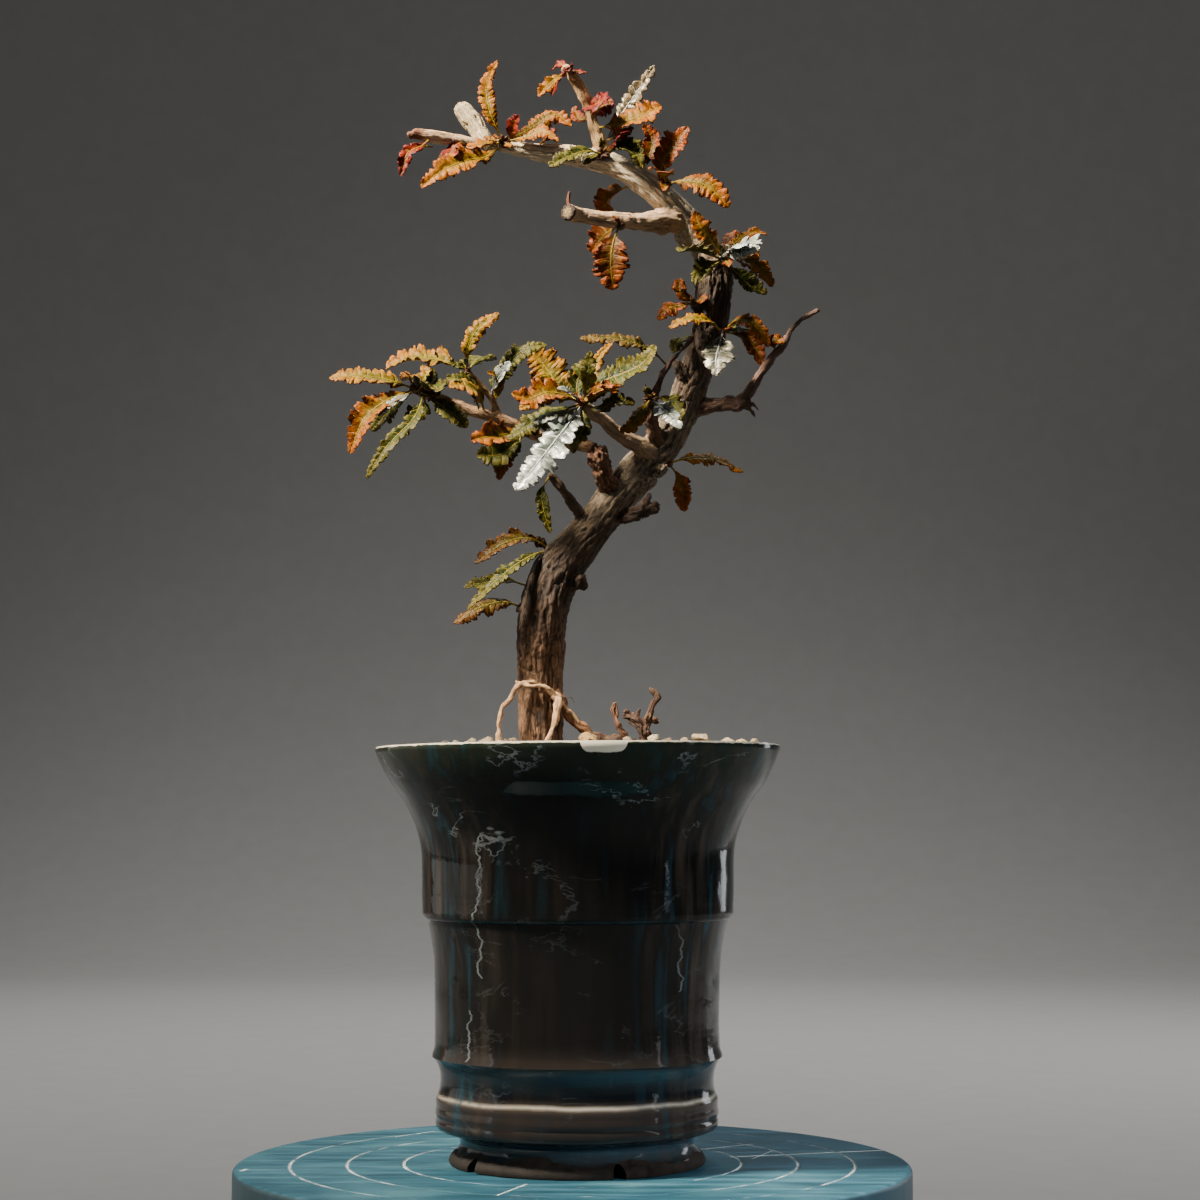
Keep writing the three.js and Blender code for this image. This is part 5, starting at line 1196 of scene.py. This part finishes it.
dry_bark = ridged_bark("dry_root_bark")
for name, node, tables, tone in [
    ("dry_twig", "dry_root_twig", [DRY_TWIG], "#6d4a34"),
    ("dry_stump", "dry_root_stump", [DRY_STUMP, DRY_SPRIG, *DRY_SPURS], "#4c3526"),
]:
    paths = [grown_path(rows, 40 + i, DRY_WANDER) for i, rows in enumerate(tables)]
    wood = grown_wood(name, paths, [], TWIG_VOXEL, dry_bark)
    roughen_bark(wood, paths, lambda *place: linear(tone), [DRY_ROUGHNESS] * len(paths), seed=31.0)
    dress(wood, "dry_root", node)


# The gravel

def add_stone(bm, centre, size, tone, draw):
    """One broken stone: the hull of a few points thrown on a flattened ball, turned at random."""
    flat = Vector((1, draw.uniform(0.7, 0.95), draw.uniform(0.55, 0.8))) * size / 2
    turn = Euler((draw.uniform(-0.5, 0.5), draw.uniform(-0.5, 0.5), draw.uniform(0, math.tau))).to_matrix()
    layer = bm.verts.layers.float_color["tone"]
    points = []
    for _ in range(STONE_CORNERS):
        out = Vector((draw.gauss(0, 1), draw.gauss(0, 1), draw.gauss(0, 1))).normalized()
        points.append(bm.verts.new(centre + turn @ (out * flat)))
        points[-1][layer] = tone
    hull = bmesh.ops.convex_hull(bm, input=points)
    inner = {item for item in hull["geom_interior"] if isinstance(item, bmesh.types.BMVert)}
    bmesh.ops.delete(bm, geom=list(inner), context="VERTS")


def dome(reach):
    """How high the soil is heaped at a distance from the pot's axis."""
    return SOIL_DOME * (1 - (reach / SOIL_RADIUS) ** 2)


soil_top = [(reach, SOIL_TOP - 2 + dome(reach)) for reach in (72, 58, 42, 22, 0)]
gravel_mesh = spun(SOIL_WALL + soil_top, SOIL_STEPS)
tone_layer = gravel_mesh.verts.layers.float_color.new("tone")
for vert in gravel_mesh.verts:
    vert[tone_layer] = linear("#3a2c22")
draw = random.Random(4711)
rows = int((SOIL_RADIUS + 5) / (STONE_SPACING * ROW_STEP))
for row in range(-rows, rows + 1):
    for column in range(-rows, rows + 1):
        x = (column + (row % 2) / 2 + draw.uniform(-0.3, 0.3)) * STONE_SPACING
        y = (row + draw.uniform(-0.3, 0.3)) * STONE_SPACING * ROW_STEP
        size = draw.choice(STONE_SIZES) * draw.uniform(0.85, 1.15)
        tone = linear(draw.choice(STONE_TONES))
        lift = draw.uniform(-1.2, 1.3)
        reach = math.hypot(x, y)
        if reach > GRAVEL_REACH - size / 2 or math.dist((x, y), TRUNK_FOOT) < TRUNK_CLEARANCE + size * 0.35:
            continue
        add_stone(gravel_mesh, Vector((x, y, SOIL_TOP + dome(reach) + lift)) * MM, size * MM, tone, draw)
for x, y, top, size, colour in TOP_STONES:
    add_stone(gravel_mesh, Vector((x, y, top - size * 0.32)) * MM, size * MM, linear(colour), draw)
bmesh.ops.translate(gravel_mesh, verts=gravel_mesh.verts, vec=POTTED)
gravel = make_piece("gravel_stones", gravel_mesh, grit(), sharp=60)
dress(gravel, "gravel", "substrate")


# Leaves

def mark_leaf(bm, verts, place, tone):
    """Gives the vertices their place between the side veins and their tone, for the leaf's material."""
    place_layer = bm.verts.layers.float_vector["vein_place"]
    tone_layer = bm.verts.layers.float_color["tone"]
    for vert in verts:
        vert[place_layer] = place
        vert[tone_layer] = tone


def add_blade(bm, leaf, root, draw):
    """One leaf: a blade cut into rounded lobes, puckered between its side veins, on a tapering pale rib."""
    tone_name, width, face, rib = leaf
    path = smooth_path(placed([root, *rib[1:]]), LEAF_STATION * MM)
    length = run_along(path)[-1] / MM
    tilt = math.radians(face)
    stations = ways(path, Vector((0, -math.cos(tilt), math.sin(tilt))), carried=False)
    last = len(stations) - 1
    stalk = min(LONGEST_STALK, STALK / length)
    silver = tone_name.startswith("silver")
    lobes = max(3, min(8, round(length * (1 - stalk) / (SILVER_LOBE_LENGTH if silver else LOBE_LENGTH))))
    curl, twist, wave = draw.uniform(-0.15, 0.3), draw.uniform(-0.35, 0.35), draw.random()
    fold, pale = draw.uniform(0.12, 0.45), draw.uniform(0.45, 0.85)
    if silver:
        fold *= 0.4
    sizes = [draw.uniform(0.68, 1.14) for _ in range(2 * lobes + 6)]
    lifts = [draw.uniform(-0.3, 0.35) for _ in range(2 * lobes + 6)]
    inner, middle, outer = (np.array(linear(colour)) for colour in LEAF_TONES[tone_name])
    base_cut = LEAF_CUTS.get(tone_name.split("_")[0], LEAF_CUT) * draw.uniform(0.75, 1.2)
    columns = 8 if width < 8 else 10
    grid = bmesh.ops.create_grid(bm, x_segments=columns, y_segments=lobes * 10, size=1)["verts"]
    for vert in grid:
        across, along = -vert.co.x, (vert.co.y + 1) / 2
        out = abs(across)
        phase = along * lobes + 0.3 + 0.3 * math.sin(math.tau * (1.3 * along + wave))
        phase += 0.5 if across > 0 else 0
        within = phase % 1
        pleat = abs(math.sin(math.tau * within))
        lobe = 2 * int(phase) + (across > 0)
        scallop = max(0, 1 - abs(2 * within - 1) ** (2.4 if silver else 3.4)) ** 0.5
        cut = base_cut + (0.12 if silver else 0.16) * along
        envelope = width / 2 * math.sin(math.pi * (0.16 + 0.76 * along)) * min(1, 0.45 + along * 6)
        tip = math.sqrt(max(0, 1 - (max(0, along - 0.94) / 0.06) ** 2))
        teeth = 0.9 + 0.2 * pleat
        half = max(0.3, 1.08 * envelope * (cut + (1 - cut) * scallop * sizes[lobe]) * tip * teeth)
        lean = 0.62 * out ** 1.5 / lobes * (1 - along)
        t = stalk + (1 - stalk) * min(1, along + lean)
        centre, ahead, up, aside = stations[round(t * last)]
        quilt = 0.25 * pleat ** 0.7 * math.sin(math.pi * min(1, out * 1.1)) ** 0.8
        rise = fold * half * out + quilt * min(1, width / 9) - curl * half * out ** 3
        rise += (lifts[lobe] * scallop + 0.1 * math.sin(2 * math.pi * (phase / 2 + wave))) * half * out ** 2
        rise += twist * half * across * along
        rise += 0.9 * out * rough(across * half / 2.4, along * length / 2.4, 9 * wave)
        vert.co = centre + (across * half * aside + rise * up) * MM
        edge = min(1, out ** 1.6 * 0.75 + max(0, along - 0.5) * 0.8)
        mixed = middle + (outer - middle) * edge if edge > 0.3 else inner + (middle - inner) * edge / 0.3
        mark_leaf(bm, [vert], (phase, out, pale), mixed)
    blade = {face for vert in grid for face in vert.link_faces}
    bmesh.ops.solidify(bm, geom=list(blade), thickness=BLADE_THICKNESS * MM)
    taper = np.linspace(1, 0.28, len(path[::3]))
    radius = (0.36 + width * 0.018) * MM
    rib_path = np.column_stack([path[::3], radius * taper])
    mark_leaf(bm, add_tube(bm, rib_path, 6), (0.5, 0, pale), inner)


def add_bud(bm, knob, tone, wood, draw):
    """A bud of small overlapping scales at the end of a short shoot from the wood."""
    row = placed([knob])[0]
    centre, radius = Vector(row[:3]), row[3] * 0.62
    foot = wood.find_nearest(centre)[0]
    out = (centre - foot).normalized() if (centre - foot).length > 0.2 * MM else Vector((0, -1, 0))
    ends = [(foot - out * 1.2 * MM, 0.7), (centre, 0.85), (centre + out * radius * 0.3, 0.6)]
    shoot = smooth_path([[*place, radius * share] for place, share in ends], 0.5 * MM)
    mark_leaf(bm, add_tube(bm, shoot, 10), (0, 1, 0), tone)
    for i in range(BUD_SCALES):
        lean = (out.orthogonal() * (0.75 + 0.4 * draw.random()) + out * (0.35 + 0.1 * i)).normalized()
        lean.rotate(Matrix.Rotation(i * 2.4, 3, out))
        shape = Matrix.Diagonal((0.6, 0.42, 1.1 + 0.4 * draw.random(), 1))
        aim = lean.to_track_quat("Z", "Y").to_matrix().to_4x4()
        seat = Matrix.Translation(centre + lean * radius * 0.55) @ aim @ shape
        scale = bmesh.ops.create_icosphere(bm, subdivisions=2, radius=radius * 0.62, matrix=seat)["verts"]
        mark_leaf(bm, scale, (0, 1, 0), np.array(tone) * draw.uniform(0.8, 1.2))


def young_leaves(knob, leaves, draw):
    """The small new leaves that stand round a bud, between the grown ones."""
    for _ in range(YOUNG_LEAVES):
        tone = draw.choice(leaves)[0]
        aim = Vector((draw.uniform(-1, 1), draw.uniform(-1, 0.2), draw.uniform(-0.3, 1))).normalized()
        length = draw.uniform(6, 11)
        droop = Vector((0, 0, draw.uniform(-0.35, 0.1) * length))
        rib = [Vector(knob[:3]) + aim * length * t + droop * t * t for t in (0, 0.35, 0.7, 1)]
        yield tone, draw.uniform(3.2, 5), draw.uniform(15, 60), [tuple(point) for point in rib]


def grown_leaves(node, buds, leaves, wood, draw):
    """The piece for one leaf node: its buds and its leaves, each stalk starting in a bud that is in reach."""
    bm = bmesh.new()
    bm.verts.layers.float_vector.new("vein_place")
    bm.verts.layers.float_color.new("tone")
    tone = linear(BUD_TONES.get(node, BUD_TONE))
    for knob in buds:
        add_bud(bm, knob, tone, wood, draw)
        for leaf in young_leaves(knob, leaves, draw):
            add_blade(bm, leaf, knob[:3], draw)
    for leaf in leaves:
        start = leaf[3][0]
        roots = [knob[:3] for knob in buds if math.dist(knob[:3], start) < BUD_REACH]
        add_blade(bm, leaf, roots[0] if roots else start, draw)
    material = silvered_leaf if leaves[0][0].startswith("silver") else turning_leaf
    return make_piece(node.replace("spray", "leaves").replace("leaf_", "single_leaf_"), bm, material)


turning_leaf = quilted_leaf("turning_leaf", "#a88c30", 0.6, Specular_IOR_Level=0.2)
silvered_leaf = quilted_leaf("silvered_leaf", "#e8ece6", 0.38, Coat_Weight=0.5, Coat_Roughness=0.22)
wood_surface = BVHTree.FromObject(tree, bpy.context.evaluated_depsgraph_get())
leaf_draw = random.Random(20)
for node, (buds, leaves) in SPRAYS.items():
    sprig = grown_leaves(node, buds, leaves + MORE_LEAVES.get(node, []), wood_surface, leaf_draw)
    dress(sprig, LEAF_SLOTS.get(leaves[0][0], "leaf_" + leaves[0][0].split("_")[0]), node)


# The sweep, the lights and the camera, in metres

SWEEP_BEND = [(2.2 + math.sin(math.radians(a)), 1 - math.cos(math.radians(a))) for a in range(0, 91, 10)]
SWEEP_SECTION = [(-4, 0), *SWEEP_BEND, (3.2, 4)]
SWEEP_WIDTH = 12
sweep_mesh = bmesh.new()
sweep_verts = [sweep_mesh.verts.new((-SWEEP_WIDTH / 2, y, z)) for y, z in SWEEP_SECTION]
sweep_edges = [sweep_mesh.edges.new(pair) for pair in zip(sweep_verts, sweep_verts[1:])]
rolled = bmesh.ops.extrude_edge_only(sweep_mesh, edges=sweep_edges)["geom"]
rolled_verts = [item for item in rolled if isinstance(item, bmesh.types.BMVert)]
bmesh.ops.translate(sweep_mesh, verts=rolled_verts, vec=(SWEEP_WIDTH, 0, 0))
sweep = make_piece("paper_sweep", sweep_mesh, matt_paper())

# The key and the wheel's fill don't light the sweep, because the glaze would mirror their pool on it.
off_the_sweep = bpy.data.collections.new("off_the_sweep")
off_the_sweep.objects.link(sweep)
off_the_sweep.collection_objects[0].light_linking.link_state = "EXCLUDE"
SIDE_AIM = (0, 0, 0.35)
SOFTBOXES = {  # place, aim, width and height, power, colour, spread, lights the sweep, shows in the glaze
    "key": ((-0.95, -0.55, 1.75), (0.02, 0, 0.42), (0.35, 0.35), 6.1, "#fff0da", 26, False, True),
    "wheel_fill": ((0.9, -0.75, 0.42), (0.08, -0.05, 0.055), (0.5, 0.12), 0.7, "#f2f4f6", 30, False, False),
    "left_panel": ((-1.504, 0.375, 0.85), SIDE_AIM, (1.86, 1.66), 6, "#f4f1ea", 180, True, True),
    "left_edge": ((-1.434, -0.439, 0.85), SIDE_AIM, (0.05, 1.6), 1.2, "#eef2f6", 180, True, True),
    "right_strip": ((1.2, 1.12, 0.65), (0, 0, 0.3), (0.3, 1.2), 3.6, "#eef2f6", 180, True, True),
    "front_strip": ((1.38, -0.59, 0.85), SIDE_AIM, (0.05, 1.6), 1.2, "#eef2f6", 180, True, True),
    "floor_wash": ((0.2, 1.4, 2.4), (0.1, 1.3, 0), (1.6, 0.9), 11, "#ffffff", 100, True, True),
}
for name, (place, aim, size, power, colour, spread, lights_sweep, in_glaze) in SOFTBOXES.items():
    light = bpy.data.lights.new(name, "AREA")
    light.shape = "RECTANGLE"
    light.size, light.size_y = size
    light.energy = power
    light.color = linear(colour)[:3]
    light.spread = math.radians(spread)
    lamp = bpy.data.objects.new(name, light)
    lamp.location = place
    lamp.rotation_euler = (Vector(aim) - Vector(place)).to_track_quat("-Z", "Y").to_euler()
    lamp.visible_camera = False
    lamp.visible_glossy = in_glaze
    if not lights_sweep:
        lamp.light_linking.receiver_collection = off_the_sweep
    bpy.context.scene.collection.objects.link(lamp)

world = bpy.data.worlds.new("dim_room")
world.use_nodes = True
room = world.node_tree.nodes["Background"]
room.inputs["Color"].default_value = linear("#8a8c90")
room.inputs["Strength"].default_value = 0.22
bpy.context.scene.world = world

CAMERA_PLACE = (0.0121, -1.1253, 0.2147)
CAMERA_TILT = 94.89  # degrees from straight down
CAMERA_LENS = 74.75
camera = bpy.data.objects.new("camera", bpy.data.cameras.new("camera"))
camera.data.lens = CAMERA_LENS
camera.location = CAMERA_PLACE
camera.rotation_euler = (math.radians(CAMERA_TILT), 0, 0)
bpy.context.scene.collection.objects.link(camera)
bpy.context.scene.camera = camera
